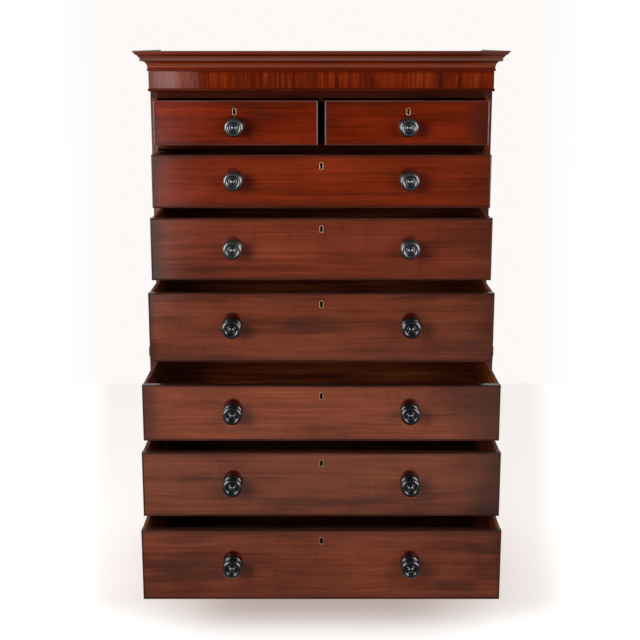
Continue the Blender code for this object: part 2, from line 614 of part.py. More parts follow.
def bracket_foot(name, side, end):
    """A corner foot of two brackets and a glue block. side is -1 at the left, end is -1 at the front."""
    corner_x = side * (LOWER_HALF + BASE_MOULDING_REACH - FOOT_INSET)
    corner_y = LOWER_FRONT - BASE_MOULDING_REACH + FOOT_INSET if end < 0 else BACK
    block = FOOT_THICKNESS + GLUE_BLOCK
    plan = [(0.0, 0.0), (FOOT_LENGTH, 0.0), (FOOT_LENGTH, FOOT_THICKNESS), (block, FOOT_THICKNESS)]
    plan += [(across, along) for along, across in reversed(plan[1:])]
    outline = [(corner_x - side * across, corner_y - end * along) for across, along in plan]
    foot = plate(name, outline, 0.0, FOOT_HEIGHT, "Z", CHEST)
    depth = sorted((corner_y + end * CUT_OVERRUN, corner_y - end * (FOOT_THICKNESS + CUT_OVERRUN)))
    face_hollow = bracket_hollow(corner_x, -side)
    face_cutter = plate(f"{name}_face_hollow", face_hollow, depth[0], depth[1], "Y", CHEST)
    depth = sorted((corner_x + side * CUT_OVERRUN, corner_x - side * (FOOT_THICKNESS + CUT_OVERRUN)))
    return_hollow = bracket_hollow(corner_y, -end)
    return_cutter = plate(f"{name}_return_hollow", return_hollow, depth[0], depth[1], "X", CHEST)
    return finish(cut(foot, face_cutter, return_cutter), MAHOGANY)


def cockbeaded_front(name, width, height, parent):
    """A drawer front whose flat face is framed by a rounded bead."""
    low = Vector((-width / 2, -COCKBEAD_PROUD, 0.0))
    high = Vector((width / 2, FRONT_THICKNESS, height))
    bm = bmesh.new()
    bmesh.ops.create_cube(bm, size=1.0)
    bmesh.ops.scale(bm, vec=high - low, verts=bm.verts)
    bmesh.ops.translate(bm, vec=(low + high) / 2, verts=bm.verts)
    face = min(bm.faces, key=lambda item: item.calc_center_median().y)
    rim = list(face.edges)
    bmesh.ops.inset_region(bm, faces=[face], thickness=COCKBEAD_WIDTH)
    rim += list(face.edges)
    panel = bmesh.ops.extrude_discrete_faces(bm, faces=[face])["faces"][0]
    bmesh.ops.translate(bm, vec=(0.0, COCKBEAD_PROUD, 0.0), verts=panel.verts)
    rim = [edge for edge in rim if edge.is_valid]
    bmesh.ops.bevel(bm, geom=rim, offset=COCKBEAD_ROUND, segments=2, profile=0.5, affect="EDGES")
    return new_object(name, bm, parent)


def lining_outline(height, length, gap):
    """Outline of a drawer side in (y, z), with dovetails at its front end, let out by a gap."""
    count = max(2, round(height / DOVETAIL_PITCH))
    pitch = height / count
    shoulder = FRONT_THICKNESS + SEAT_GAP
    tip = DOVETAIL_LAP + SEAT_GAP - gap
    outline = [(length, -gap), (shoulder, -gap)]
    for index in range(count):
        middle = (index + 0.5) * pitch
        tip_half = (pitch - DOVETAIL_PIN) / 2 + gap
        root_half = tip_half - DOVETAIL_FLARE
        outline += [(shoulder, middle - root_half), (tip, middle - tip_half)]
        outline += [(tip, middle + tip_half), (shoulder, middle + root_half)]
    return outline + [(shoulder, height + gap), (length, height + gap)]


def drawer_box(name, width, front_height, length, parent):
    """Dovetailed sides, back and bottom of a drawer as one trough, open at the front."""
    height = front_height - LINING_DROP
    half = width / 2
    outline = lining_outline(height, length, 0.0)
    left = plate(name, outline, -half, LINING_THICKNESS - half, "X", parent)
    right = plate(f"{name}_right", outline, half - LINING_THICKNESS, half, "X", parent)
    reach = half - LINING_THICKNESS / 2
    bottom_top = DRAWER_BOTTOM_RISE + DRAWER_BOTTOM_THICKNESS
    bottom_low = (-reach, FRONT_THICKNESS - GROOVE_DEPTH, DRAWER_BOTTOM_RISE)
    bottom = box(f"{name}_bottom", bottom_low, (reach, length - DRAWER_BOTTOM_OVERHANG, bottom_top), parent)
    back_face = length - DRAWER_BACK_INSET
    back_low = (-reach, back_face - DRAWER_BACK_THICKNESS, bottom_top - DRAWER_BOTTOM_THICKNESS / 2)
    back = box(f"{name}_back", back_low, (reach, back_face, height - DRAWER_BACK_DROP), parent)
    return finish(fuse(left, right, bottom, back), LINING_WOOD)


def front_cutters(name, width, height, parent):
    """What is cut from a front for its box: dovetail sockets and the groove for the bottom."""
    half = width / 2
    outline = lining_outline(height - LINING_DROP, FRONT_THICKNESS + 2 * CUT_OVERRUN, SEAT_GAP)
    inner = half - LINING_THICKNESS - SEAT_GAP
    left = plate(f"{name}_left_sockets", outline, -half - CUT_OVERRUN, -inner, "X", parent)
    right = plate(f"{name}_right_sockets", outline, inner, half + CUT_OVERRUN, "X", parent)
    reach = half - LINING_THICKNESS / 2 + SEAT_GAP
    low = (-reach, FRONT_THICKNESS - GROOVE_DEPTH - SEAT_GAP, DRAWER_BOTTOM_RISE - SEAT_GAP)
    groove_top = DRAWER_BOTTOM_RISE + DRAWER_BOTTOM_THICKNESS + SEAT_GAP
    groove = box(f"{name}_groove", low, (reach, FRONT_THICKNESS + CUT_OVERRUN, groove_top), parent)
    return left, right, groove


def knob_profile():
    """Section of a turned knob from its boss down to the end of its tenon."""
    rim_middle = (KNOB_HEAD_REACH + KNOB_PROJECTION) / 2 - KNOB_RING_DEPTH
    rim_half = KNOB_PROJECTION - KNOB_RING_DEPTH - rim_middle
    rim_round = (KNOB_RADIUS - KNOB_RING_RADIUS) / 2
    rim_crest = KNOB_RING_RADIUS + rim_round
    ring_floor = KNOB_PROJECTION - 2 * KNOB_RING_DEPTH
    boss_foot = KNOB_PROJECTION - KNOB_RING_DEPTH
    boss = KNOB_RING_RADIUS * KNOB_BOSS_SHARE
    dome = arc((0.0, boss_foot), boss, KNOB_RING_DEPTH, 90, 0, KNOB_BOSS_STEPS)
    profile = [(0.0, KNOB_PROJECTION), *dome[1:], (KNOB_RING_RADIUS, ring_floor)]
    profile += arc((rim_crest, rim_middle), rim_round, rim_half, 140, -80, KNOB_RIM_STEPS)
    neck_foot = KNOB_ROSE_THICKNESS + KNOB_RING_DEPTH
    profile += [(KNOB_NECK_RADIUS, KNOB_NECK_REACH), (KNOB_NECK_RADIUS, neck_foot)]
    profile += [(KNOB_ROSE_RADIUS, KNOB_ROSE_THICKNESS), (KNOB_ROSE_RADIUS, SEAT_GAP)]
    tenon_end = SEAT_GAP - FRONT_THICKNESS
    return profile + [(KNOB_TENON_RADIUS, SEAT_GAP), (KNOB_TENON_RADIUS, tenon_end), (0.0, tenon_end)]


def knob(name, across, up, parent):
    """A turned knob on the front's face, and the cutter of the hole for its tenon."""
    hole_radius = KNOB_TENON_RADIUS + SEAT_GAP
    hole_profile = [(0.0, CUT_OVERRUN), (hole_radius, CUT_OVERRUN)]
    hole_profile += [(hole_radius, -FRONT_THICKNESS - CUT_OVERRUN), (0.0, -FRONT_THICKNESS - CUT_OVERRUN)]
    piece = turned(name, knob_profile(), KNOB_STEPS, parent)
    hole = turned(f"{name}_hole", hole_profile, KNOB_STEPS, parent)
    for obj in (piece, hole):
        obj.location = (across, 0.0, up)
        obj.rotation_euler = (math.pi / 2, 0.0, 0.0)
    finish(piece, EBONISED)
    return hole


def keyhole_outline(margin, across, up):
    """A keyhole let out by a margin: a round at a point of the front, over a slot, in (x, z)."""
    radius = KEYHOLE_RADIUS + margin
    slot = KEYHOLE_RADIUS * KEYHOLE_SLOT_SHARE + margin
    open_angle = math.degrees(math.asin(slot / radius))
    crown = arc((across, up), radius, radius, open_angle - 90, 270 - open_angle, KEYHOLE_STEPS)
    foot = up - KEYHOLE_LENGTH - margin
    return [*crown, (across - slot, foot), (across + slot, foot)]


def drawer_lock(name, across, height, parent):
    """A lock in the back of a front with its lined keyhole, and the cutters of its mortise."""
    up = height - KEYHOLE_DROP
    face = FRONT_THICKNESS - LOCK_DEPTH
    left = across - LOCK_WIDTH / 2
    right = across + LOCK_WIDTH / 2
    low = (left, face, up - LOCK_BELOW_KEYHOLE)
    lock = box(name, low, (right, FRONT_THICKNESS, height), parent)
    rim = keyhole_outline(ESCUTCHEON_RIM, across, up)
    lining = plate(f"{name}_lining", rim, -ESCUTCHEON_PROUD, face + LOCK_DEPTH / 4, "Y", parent)
    fuse(lock, lining)
    keyway_end = FRONT_THICKNESS - LOCK_BACK_WALL
    hole = keyhole_outline(0.0, across, up)
    keyway = plate(f"{name}_keyway", hole, -CUT_OVERRUN, keyway_end, "Y", parent)
    finish(cut(lock, keyway), WORN_BRASS)

    pocket_low = (left - SEAT_GAP, face - SEAT_GAP, up - LOCK_BELOW_KEYHOLE - SEAT_GAP)
    pocket_high = (right + SEAT_GAP, FRONT_THICKNESS + CUT_OVERRUN, height + CUT_OVERRUN)
    pocket = box(f"{name}_pocket", pocket_low, pocket_high, parent)
    mouth_outline = keyhole_outline(ESCUTCHEON_RIM + SEAT_GAP, across, up)
    mouth = plate(f"{name}_mouth", mouth_outline, -CUT_OVERRUN, FRONT_THICKNESS, "Y", parent)
    return pocket, mouth


def drawer(name, middle, carcase_front, floor, width, height, length, pull):
    """One drawer on its own slide: front, dovetailed box, lock and knobs."""
    slide = new_empty(name, (middle, carcase_front - pull, floor + DRAWER_SEAT), CHEST)
    front = cockbeaded_front(f"{name}_front", width, height, slide)
    drawer_box(f"{name}_box", width, height, length, slide)
    cutters = list(front_cutters(name, width, height, slide))
    if name.startswith("short"):
        # The lock and knob of a short drawer stand in line with the long drawers' knobs.
        across = math.copysign(KNOB_SPACING / 2, middle) - middle
        cutters += drawer_lock(f"{name}_lock", across, height, slide)
        cutters.append(knob(f"{name}_knob", across, height / 2 - SHORT_KNOB_DROP, slide))
    else:
        up = height / 2 + KNOB_RISE
        cutters += drawer_lock(f"{name}_lock", 0.0, height, slide)
        cutters.append(knob(f"{name}_left_knob", -KNOB_SPACING / 2, up, slide))
        cutters.append(knob(f"{name}_right_knob", KNOB_SPACING / 2, up, slide))
    finish(cut(front, *cutters), FRONT_MAHOGANY)


clear_scene()
PARTS = new_collection("chest_on_chest")
CUTTERS = new_collection("cutters")
CUTTERS.hide_render = True
CHEST = new_empty("chest", (0.0, -MIDDLE_Y, 0.0))
upper_carcase()
cornice_unit()
lower_carcase()
for sizes in DRAWERS:
    drawer(*sizes)
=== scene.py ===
"""Dresses the mahogany chest on chest: polished woods, turned knobs, worn brass and a pale studio."""

import logging
import math
from dataclasses import dataclass, field, replace
from enum import Enum
from typing import Any, Mapping, Optional, Sequence, Union

import bmesh
import bpy
from mathutils import Matrix, Vector


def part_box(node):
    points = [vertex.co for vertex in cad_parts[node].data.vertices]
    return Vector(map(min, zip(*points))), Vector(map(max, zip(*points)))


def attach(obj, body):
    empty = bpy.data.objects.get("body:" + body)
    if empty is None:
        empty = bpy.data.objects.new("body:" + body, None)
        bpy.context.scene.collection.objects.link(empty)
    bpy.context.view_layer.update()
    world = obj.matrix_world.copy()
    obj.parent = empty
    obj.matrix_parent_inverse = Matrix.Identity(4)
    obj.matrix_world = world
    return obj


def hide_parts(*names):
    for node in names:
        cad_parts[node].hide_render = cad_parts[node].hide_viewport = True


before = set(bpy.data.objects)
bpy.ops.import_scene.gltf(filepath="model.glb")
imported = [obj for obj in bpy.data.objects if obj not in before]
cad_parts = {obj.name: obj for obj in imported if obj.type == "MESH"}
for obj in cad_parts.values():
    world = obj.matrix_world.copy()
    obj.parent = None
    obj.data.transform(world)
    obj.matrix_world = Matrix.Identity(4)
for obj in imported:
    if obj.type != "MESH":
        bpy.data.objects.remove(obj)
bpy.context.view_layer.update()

LOG = logging.getLogger("chest_on_chest")
CARCASE = "carcase"
JOINT_GAP = 0.00015  # between pieces that meet at a glued joint
ARRIS = 0.0008  # how far a hand-planed edge is eased

Colour = tuple[float, float, float]
Place = tuple[float, float, float]
Flat = tuple[float, float]
Term = Union["Value", float]


class Grain(Enum):
    """Which way the grain of a board runs: the axes in the order along, across and through."""

    ACROSS = (0, 2, 1)
    DEEP = (1, 2, 0)
    UPRIGHT = (2, 0, 1)


class Hand(Enum):
    """The left or the right of the chest, as the sign of X."""

    LEFT = -1
    RIGHT = 1


# Shader building


class Value:
    """A shader socket that takes part in Python sums."""

    def __init__(self, recipe: "Recipe", socket: bpy.types.NodeSocket) -> None:
        """Keep the socket and the recipe that it belongs to."""
        self.recipe = recipe
        self.socket = socket

    def _sum(self, operation: str, first: Term, second: Term = 0.0) -> "Value":
        """A Math node on two terms."""
        node = self.recipe.node("ShaderNodeMath", {"operation": operation}, {0: first, 1: second})
        return Value(self.recipe, node.outputs[0])

    def __add__(self, other: Term) -> "Value":
        """Sum."""
        return self._sum("ADD", self, other)

    def __radd__(self, other: Term) -> "Value":
        """Sum with a number on the left."""
        return self._sum("ADD", other, self)

    def __sub__(self, other: Term) -> "Value":
        """Difference."""
        return self._sum("SUBTRACT", self, other)

    def __rsub__(self, other: Term) -> "Value":
        """Difference with a number on the left."""
        return self._sum("SUBTRACT", other, self)

    def __mul__(self, other: Term) -> "Value":
        """Product."""
        return self._sum("MULTIPLY", self, other)

    def __rmul__(self, other: Term) -> "Value":
        """Product with a number on the left."""
        return self._sum("MULTIPLY", other, self)

    def __truediv__(self, other: Term) -> "Value":
        """Quotient."""
        return self._sum("DIVIDE", self, other)

    def __pow__(self, other: Term) -> "Value":
        """Power."""
        return self._sum("POWER", self, other)

    def __abs__(self) -> "Value":
        """Size without sign."""
        return self._sum("ABSOLUTE", self)

    def least(self, other: Term) -> "Value":
        """The smaller of two terms."""
        return self._sum("MINIMUM", self, other)

    def most(self, other: Term) -> "Value":
        """The larger of two terms."""
        return self._sum("MAXIMUM", self, other)

    def rise(self, low: float, high: float) -> "Value":
        """A smooth step from 0 at low to 1 at high.

        Args:
            low: where the step starts; it may lie above high, and the step then falls.
            high: where the step ends.

        Returns:
            The eased share between the two.
        """
        settings = {"interpolation_type": "SMOOTHSTEP"}
        inputs = {"Value": self, "From Min": low, "From Max": high}
        return Value(self.recipe, self.recipe.node("ShaderNodeMapRange", settings, inputs).outputs[0])


class Recipe:
    """A node tree that is filled node by node."""

    def __init__(self, owner: Union[bpy.types.Material, bpy.types.World]) -> None:
        """Start an empty tree on a material or a world.

        Args:
            owner: the data block that the tree belongs to.
        """
        owner.use_nodes = True
        self.tree = owner.node_tree
        self.tree.nodes.clear()

    def node(
        self,
        kind: str,
        settings: Optional[Mapping[str, Any]] = None,
        inputs: Optional[Mapping[Any, Any]] = None,
    ) -> bpy.types.Node:
        """Add a node, give it its settings and then fill or link its sockets.

        Args:
            kind: the node's type.
            settings: its properties, with a colour ramp's stops under "stops".
            inputs: a value or a Value for each socket, by name or index.

        Returns:
            The new node.
        """
        node = self.tree.nodes.new(kind)
        for name, setting in (settings or {}).items():
            if name == "stops":
                self._fill_ramp(node.color_ramp, setting)
            else:
                setattr(node, name, setting)
        for key, term in (inputs or {}).items():
            if isinstance(term, Value):
                self.tree.links.new(term.socket, node.inputs[key])
            else:
                node.inputs[key].default_value = term
        return node

    @staticmethod
    def _fill_ramp(ramp: bpy.types.ColorRamp, stops: Sequence[tuple[float, Colour]]) -> None:
        """Set the stops of a colour ramp.

        Args:
            ramp: the ramp.
            stops: a place from 0 to 1 and a colour for each stop.
        """
        while len(ramp.elements) < len(stops):
            ramp.elements.new(1.0)
        for element, (place, colour) in zip(ramp.elements, stops):
            element.position = place
            element.color = (*colour, 1.0)

    def parts(self, vector: Value) -> tuple[Value, ...]:
        """The X, Y and Z of a vector."""
        split = self.node("ShaderNodeSeparateXYZ", None, {0: vector})
        return tuple(Value(self, socket) for socket in split.outputs)

    def axes(self) -> tuple[Value, ...]:
        """The point on the piece in metres, as three values."""
        return self.parts(Value(self, self.node("ShaderNodeTexCoord").outputs["Object"]))

    def facing(self) -> tuple[Value, ...]:
        """The outward normal of the piece, as three values."""
        return self.parts(Value(self, self.node("ShaderNodeNewGeometry").outputs["True Normal"]))

    def vector(self, along: Term, across: Term, through: Term) -> Value:
        """Three terms as one vector."""
        terms = {0: along, 1: across, 2: through}
        return Value(self, self.node("ShaderNodeCombineXYZ", None, terms).outputs[0])

    def noise(self, vector: Value, detail: float, roughness: float = 0.55) -> Value:
        """Fractal noise at one cycle to the unit.

        Args:
            vector: where the noise is read.
            detail: how many finer layers are added.
            roughness: how strong each finer layer is.

        Returns:
            The noise, about 0.5.
        """
        inputs = {"Vector": vector, "Scale": 1.0, "Detail": detail, "Roughness": roughness}
        return Value(self, self.node("ShaderNodeTexNoise", None, inputs).outputs[0])

    def ramp(self, value: Value, *stops: tuple[float, Colour]) -> Value:
        """A colour picked from a ramp."""
        return Value(self, self.node("ShaderNodeValToRGB", {"stops": stops}, {0: value}).outputs[0])

    def mix(self, factor: Term, first: Any, second: Any) -> Value:
        """Two colours mixed.

        Args:
            factor: the share of the second.
            first: a Value or a colour.
            second: a Value or a colour.

        Returns:
            The mixed colour.
        """
        settings = {"data_type": "RGBA", "clamp_factor": True}
        colours = [term if isinstance(term, Value) else (*term, 1.0) for term in (first, second)]
        node = self.node("ShaderNodeMix", settings, {0: factor, 6: colours[0], 7: colours[1]})
        return Value(self, node.outputs[2])

    def relief(self, height: Value, depth: float) -> Value:
        """A normal bent by a height.

        Args:
            height: the relief, from 0 to 1.
            depth: how deep a height of 1 is, in metres.

        Returns:
            The bent normal.
        """
        inputs = {"Height": height, "Distance": depth, "Strength": 1.0}
        return Value(self, self.node("ShaderNodeBump", None, inputs).outputs[0])

    def surface(self, **inputs: Any) -> None:
        """Close the tree with a Principled shader.

        Args:
            inputs: its sockets, with _ for a space in a name.
        """
        named = {name.replace("_", " "): term for name, term in inputs.items()}
        named = {name.replace("Ior", "IOR"): term for name, term in named.items()}
        shader = self.node("ShaderNodeBsdfPrincipled", None, named)
        self.node("ShaderNodeOutputMaterial", None, {0: Value(self, shader.outputs[0])})


# Finishes


@dataclass(frozen=True)
class Smudge:
    """A dark patch round a point of a front, used for marks in the polish and for the painted shadow round
    each knob.
    """

    across: float
    up: float
    width: float
    height: float
    depth: float
    core: float = 0.05

    def spread(self, across: Value, up: Value, ragged: Value) -> Value:
        """How strong the patch is at a point.

        Args:
            across: the point's X.
            up: the point's Z.
            ragged: how far the patch's edge strays there.

        Returns:
            The strength, from 0 to the patch's depth.
        """
        sideways = abs((across - self.across) / self.width) ** 2.0
        upwards = abs((up - self.up) / self.height) ** 2.0
        return (sideways + upwards + ragged).rise(1.0, self.core) * self.depth


@dataclass(frozen=True)
class GrainMaps:
    """What the grain of a wood gives each point: its tone, fine lines, pores and slow clouds."""

    tone: Value
    lines: Value
    pores: Value
    cloud: Value


@dataclass(frozen=True)
class Wood:
    """A wood and its polish. Frequencies are in cycles to the metre."""

    name: str
    slot: str
    dark: Colour
    middle: Colour
    light: Colour
    glow: Colour
    roughness: float
    polish: float
    polish_roughness: float = 0.11
    shine: float = 0.05
    shift: float = 0.0
    length: float = 2.0
    streaks: float = 38.0
    ribbons: float = 105.0
    lines: float = 270.0
    clouds: Flat = (3.0, 8.5)
    pits: Flat = (34.0, 1150.0)
    waves: Flat = (2.3, 6.0)
    sway: Flat = (0.030, 0.020)
    broad: float = 0.75
    ribboned: float = 0.50
    fine: float = 0.50
    cloudy: float = 0.70
    glow_share: float = 0.45
    dulled: Colour = (0.045, 0.0125, 0.0060)
    dull_share: float = 0.35
    pores: float = 0.35
    edge_wear: float = 0.0
    # painted shade on faces that look up, mixed towards the shade colour
    top_face_shade: float = 0.0
    worn: Colour = (0.17, 0.085, 0.052)
    # painted shadow on front edges at and above this height
    shaded_from: float = 9.0
    shade_reach: float = 0.012
    shade: Colour = (0.016, 0.0035, 0.0022)
    relief: float = 0.00006

    def maps(self, recipe: Recipe, grain: Grain) -> GrainMaps:
        """The grain at each point of a piece.

        Args:
            recipe: the material's tree.
            grain: the way that the grain runs.

        Returns:
            The maps of the grain.
        """
        axes = recipe.axes()
        along, across, through = (axes[index] for index in grain.value)
        along = along + self.shift
        step, fineness = self.waves
        bend = recipe.noise(recipe.vector(along * step, across * fineness, through * fineness), 2.0) - 0.5
        across = across + bend * self.sway[0]
        through = through + bend * self.sway[1]

        def read(step: float, fineness: float, detail: float) -> Value:
            """Noise drawn out along the grain."""
            vector = recipe.vector(along * step, across * fineness, through * fineness)
            return recipe.noise(vector, detail, 0.6)

        broad = read(self.length, self.streaks, 1.5)
        ribbon = read(self.length * 1.6, self.ribbons, 1.5)
        lines = read(self.length * 2.4, self.lines, 2.0)
        cloud = read(*self.clouds, 3.0)
        pores = read(*self.pits, 1.0).rise(0.60, 0.74)
        tone = (broad - 0.5) * self.broad + (ribbon - 0.5) * self.ribboned
        tone = tone + (lines - 0.5) * self.fine + (cloud - 0.5) * self.cloudy + 0.5
        return GrainMaps(tone, lines, pores, cloud)

    def colour(self, recipe: Recipe, maps: GrainMaps) -> Value:
        """The colour of the wood under its polish.

        Args:
            recipe: the material's tree.
            maps: the grain at each point.

        Returns:
            The colour.
        """
        base = recipe.ramp(maps.tone, (0.16, self.dark), (0.5, self.middle), (0.84, self.light))
        flame = maps.tone.rise(0.60, 0.88) * maps.lines.rise(0.48, 0.66) * self.glow_share
        glowing = recipe.mix(flame, base, self.glow)
        dull = (1.0 - maps.cloud).rise(0.52, 0.76) * self.dull_share
        dulled = recipe.mix(dull, glowing, self.dulled)
        return recipe.mix(maps.pores * self.pores, dulled, self.dark)

    def stain(self, recipe: Recipe, colour: Value, maps: GrainMaps) -> Value:
        """What age and light do to the colour: pale worn upper edges, painted shade on faces that look up,
        and a painted shadow on front edges high up.

        Args:
            recipe: the material's tree.
            colour: the clean colour.
            maps: the grain at each point.

        Returns:
            The aged colour.
        """
        _, forward, upward = recipe.facing()
        worn = upward.rise(0.75, 0.95) * maps.cloud.rise(0.25, 0.55) * self.edge_wear
        # painted shadow on front edges high up, and painted shade on faces that look up
        shaded = (recipe.axes()[2] - self.shaded_from).rise(-self.shade_reach, 0.0)
        painted_shade = shaded * forward.rise(-0.3, -0.8) * 0.85
        painted_shade = painted_shade.most(upward.rise(0.35, 0.75) * self.top_face_shade)
        return recipe.mix(painted_shade, recipe.mix(worn, colour, self.worn), self.shade)

    def gloss(self, recipe: Recipe) -> Term:
        """How much polish lies on the wood."""
        return self.polish

    def material(self, name: str, grain: Grain) -> bpy.types.Material:
        """Make the material.

        Args:
            name: its name.
            grain: the way that the grain runs.

        Returns:
            The material.
        """
        material = bpy.data.materials.new(name)
        recipe = Recipe(material)
        maps = self.maps(recipe, grain)
        colour = self.stain(recipe, self.colour(recipe, maps), maps)
        rough = self.roughness * (1.0 + (maps.cloud - 0.5) * 0.9 + maps.pores * 0.35)
        height = maps.lines * 0.5 - maps.pores * 0.5 + 0.5
        recipe.surface(
            Base_Color=colour,
            Roughness=rough,
            Specular_Ior_Level=self.shine,
            Coat_Weight=self.gloss(recipe),
            Coat_Roughness=self.polish_roughness,
            Coat_Ior=1.46,
            Normal=recipe.relief(height, self.relief),
        )
        return material


@dataclass(frozen=True)
class FrontWood(Wood):
    """The wood of one drawer front: darker towards its ends, the right end as painted shade, with painted
    shade along its edges, on its top face and round its knobs.
    """

    left: float = -0.5
    right: float = 0.5
    base: float = 0.0
    top: float = 0.2
    left_depth: float = 0.66
    right_depth: float = 0.78
    left_reach: float = 0.030
    right_reach: float = 0.110
    # painted shade along the top and bottom edges: a dark line by the bead (rim) and a broader band (margin)
    rim: Flat = (0.0080, 0.0035)
    rim_shade_depth: float = 0.70
    margin: Flat = (0.022, 0.002)
    margin_shade_depth: float = 0.36
    smear_depth: float = 0.22
    # the colour of the marks and of the painted shade
    grime_and_shade: Colour = (0.022, 0.0085, 0.0050)
    smudges: tuple[Smudge, ...] = ()
    # painted shadows round the knobs, and their colour
    painted_knob_shadows: tuple[Smudge, ...] = ()
    painted_knob_shadow: Colour = (0.028, 0.0006, 0.0002)

    def stain(self, recipe: Recipe, colour: Value, maps: GrainMaps) -> Value:
        """Darker ends, painted shade along the edges, on the top face and round the knobs, and smudges over
        the colour.

        Args:
            recipe: the material's tree.
            colour: the clean colour.
            maps: the grain at each point.

        Returns:
            The aged colour.
        """
        across, _, up = recipe.axes()
        ragged = (maps.cloud - 0.5) * 0.16 + (maps.tone - 0.5) * 0.03
        left_end = (across - self.left + ragged * 0.2).rise(self.left_reach, -0.004) * self.left_depth
        # the dark right end is painted shade where the side light falls off
        right_end = (self.right - across + ragged * 0.5).rise(self.right_reach, -0.02) * self.right_depth
        edge = (up - self.base).least(self.top - up) + ragged * 0.02
        # painted shade along the top and bottom edges
        edge_shade = (edge.rise(*self.rim) * self.rim_shade_depth).most(edge.rise(*self.margin) * self.margin_shade_depth)
        smears = recipe.noise(recipe.vector(across * 42.0, 0.0, up * 7.0), 3.0)
        smears = smears.rise(0.50, 0.80) * self.smear_depth
        # painted shade on the top face
        ledge = recipe.facing()[2].rise(0.35, 0.75) * self.top_face_shade
        grime_and_shade = left_end.most(right_end).most(edge_shade).most(smears).most(ledge)
        for smudge in self.smudges:
            grime_and_shade = grime_and_shade.most(smudge.spread(across, up, ragged * 6.0))
        marked_and_shaded = recipe.mix(grime_and_shade, colour, self.grime_and_shade)
        # painted shadow round each knob
        for painted_knob_shadow in self.painted_knob_shadows:
            marked_and_shaded = recipe.mix(painted_knob_shadow.spread(across, up, ragged * 2.0), marked_and_shaded, self.painted_knob_shadow)
        return marked_and_shaded


@dataclass(frozen=True)
class HighlightedBead(Wood):
    """A bead with a painted highlight: a pale length between two places across the chest."""

    highlight_from: float = 0.0
    highlight_to: float = 0.0
    wear_and_highlight: Colour = (0.36, 0.235, 0.210)

    def stain(self, recipe: Recipe, colour: Value, maps: GrainMaps) -> Value:
        """The painted highlight along the bead.

        Args:
            recipe: the material's tree.
            colour: the clean colour.
            maps: the grain at each point.

        Returns:
            The rubbed colour.
        """
        across = recipe.axes()[0]
        middle = (self.highlight_from + self.highlight_to) / 2
        half = (self.highlight_to - self.highlight_from) / 2
        share = abs(across - middle).rise(half, half * 0.9) * (0.6 + maps.cloud * 0.6)
        return recipe.mix(share, colour, self.wear_and_highlight)


@dataclass(frozen=True)
class DustyWood(Wood):
    """Moulded wood with dust on its upper members, a painted highlight across its hollow, and painted shade
    in its quirks and on faces that look down, at heights above its foot.
    """

    foot: float = 0.0
    dust: Colour = (0.116, 0.056, 0.041)
    dust_share: float = 0.85
    dust_levels: Flat = (0.026, 0.036)
    # levels of the painted shade lines in the quirks
    quirks: tuple[Flat, ...] = ((0.001, 0.0035), (0.0078, 0.0026), (0.047, 0.0030))
    # the colour of the painted shade in the quirks and on faces that look down
    grime_and_shade: Colour = (0.020, 0.0032, 0.0014)
    shade_share: float = 0.62
    # a painted highlight band across the lower part of the hollow
    highlight_at: float = 0.0170
    highlight_reach: Flat = (0.0090, 0.003)
    highlight_share: float = 0.75
    wear_and_highlight: Colour = (0.154, 0.040, 0.018)

    def stain(self, recipe: Recipe, colour: Value, maps: GrainMaps) -> Value:
        """Dust on the upper members, a painted highlight across the hollow, and painted shade in the quirks
        and on faces that look down.

        Args:
            recipe: the material's tree.
            colour: the clean colour.
            maps: the grain at each point.

        Returns:
            The colour with its dust, painted highlight and painted shade.
        """
        upward, up = recipe.facing()[2], recipe.axes()[2] - self.foot
        settled = up.rise(*self.dust_levels) * (0.6 + maps.cloud * 0.8) * self.dust_share
        dusted = recipe.mix(upward.rise(-0.75, -0.25) * settled, colour, self.dust)
        # painted highlight across the hollow
        lit_band = abs(up - self.highlight_at).rise(*self.highlight_reach) * self.highlight_share
        wear_and_highlight = recipe.mix(lit_band, dusted, self.wear_and_highlight)
        # painted shade on faces that look down and in the quirks
        painted_shade = upward.rise(-0.70, -0.92)
        for level, reach in self.quirks:
            painted_shade = painted_shade.most(abs(up - level).rise(reach, reach * 0.3))
        return recipe.mix(painted_shade * self.shade_share, wear_and_highlight, self.grime_and_shade)

    def gloss(self, recipe: Recipe) -> Term:
        """The polish is lost on top, under the dust."""
        return recipe.facing()[2].rise(0.85, 0.50) * self.polish


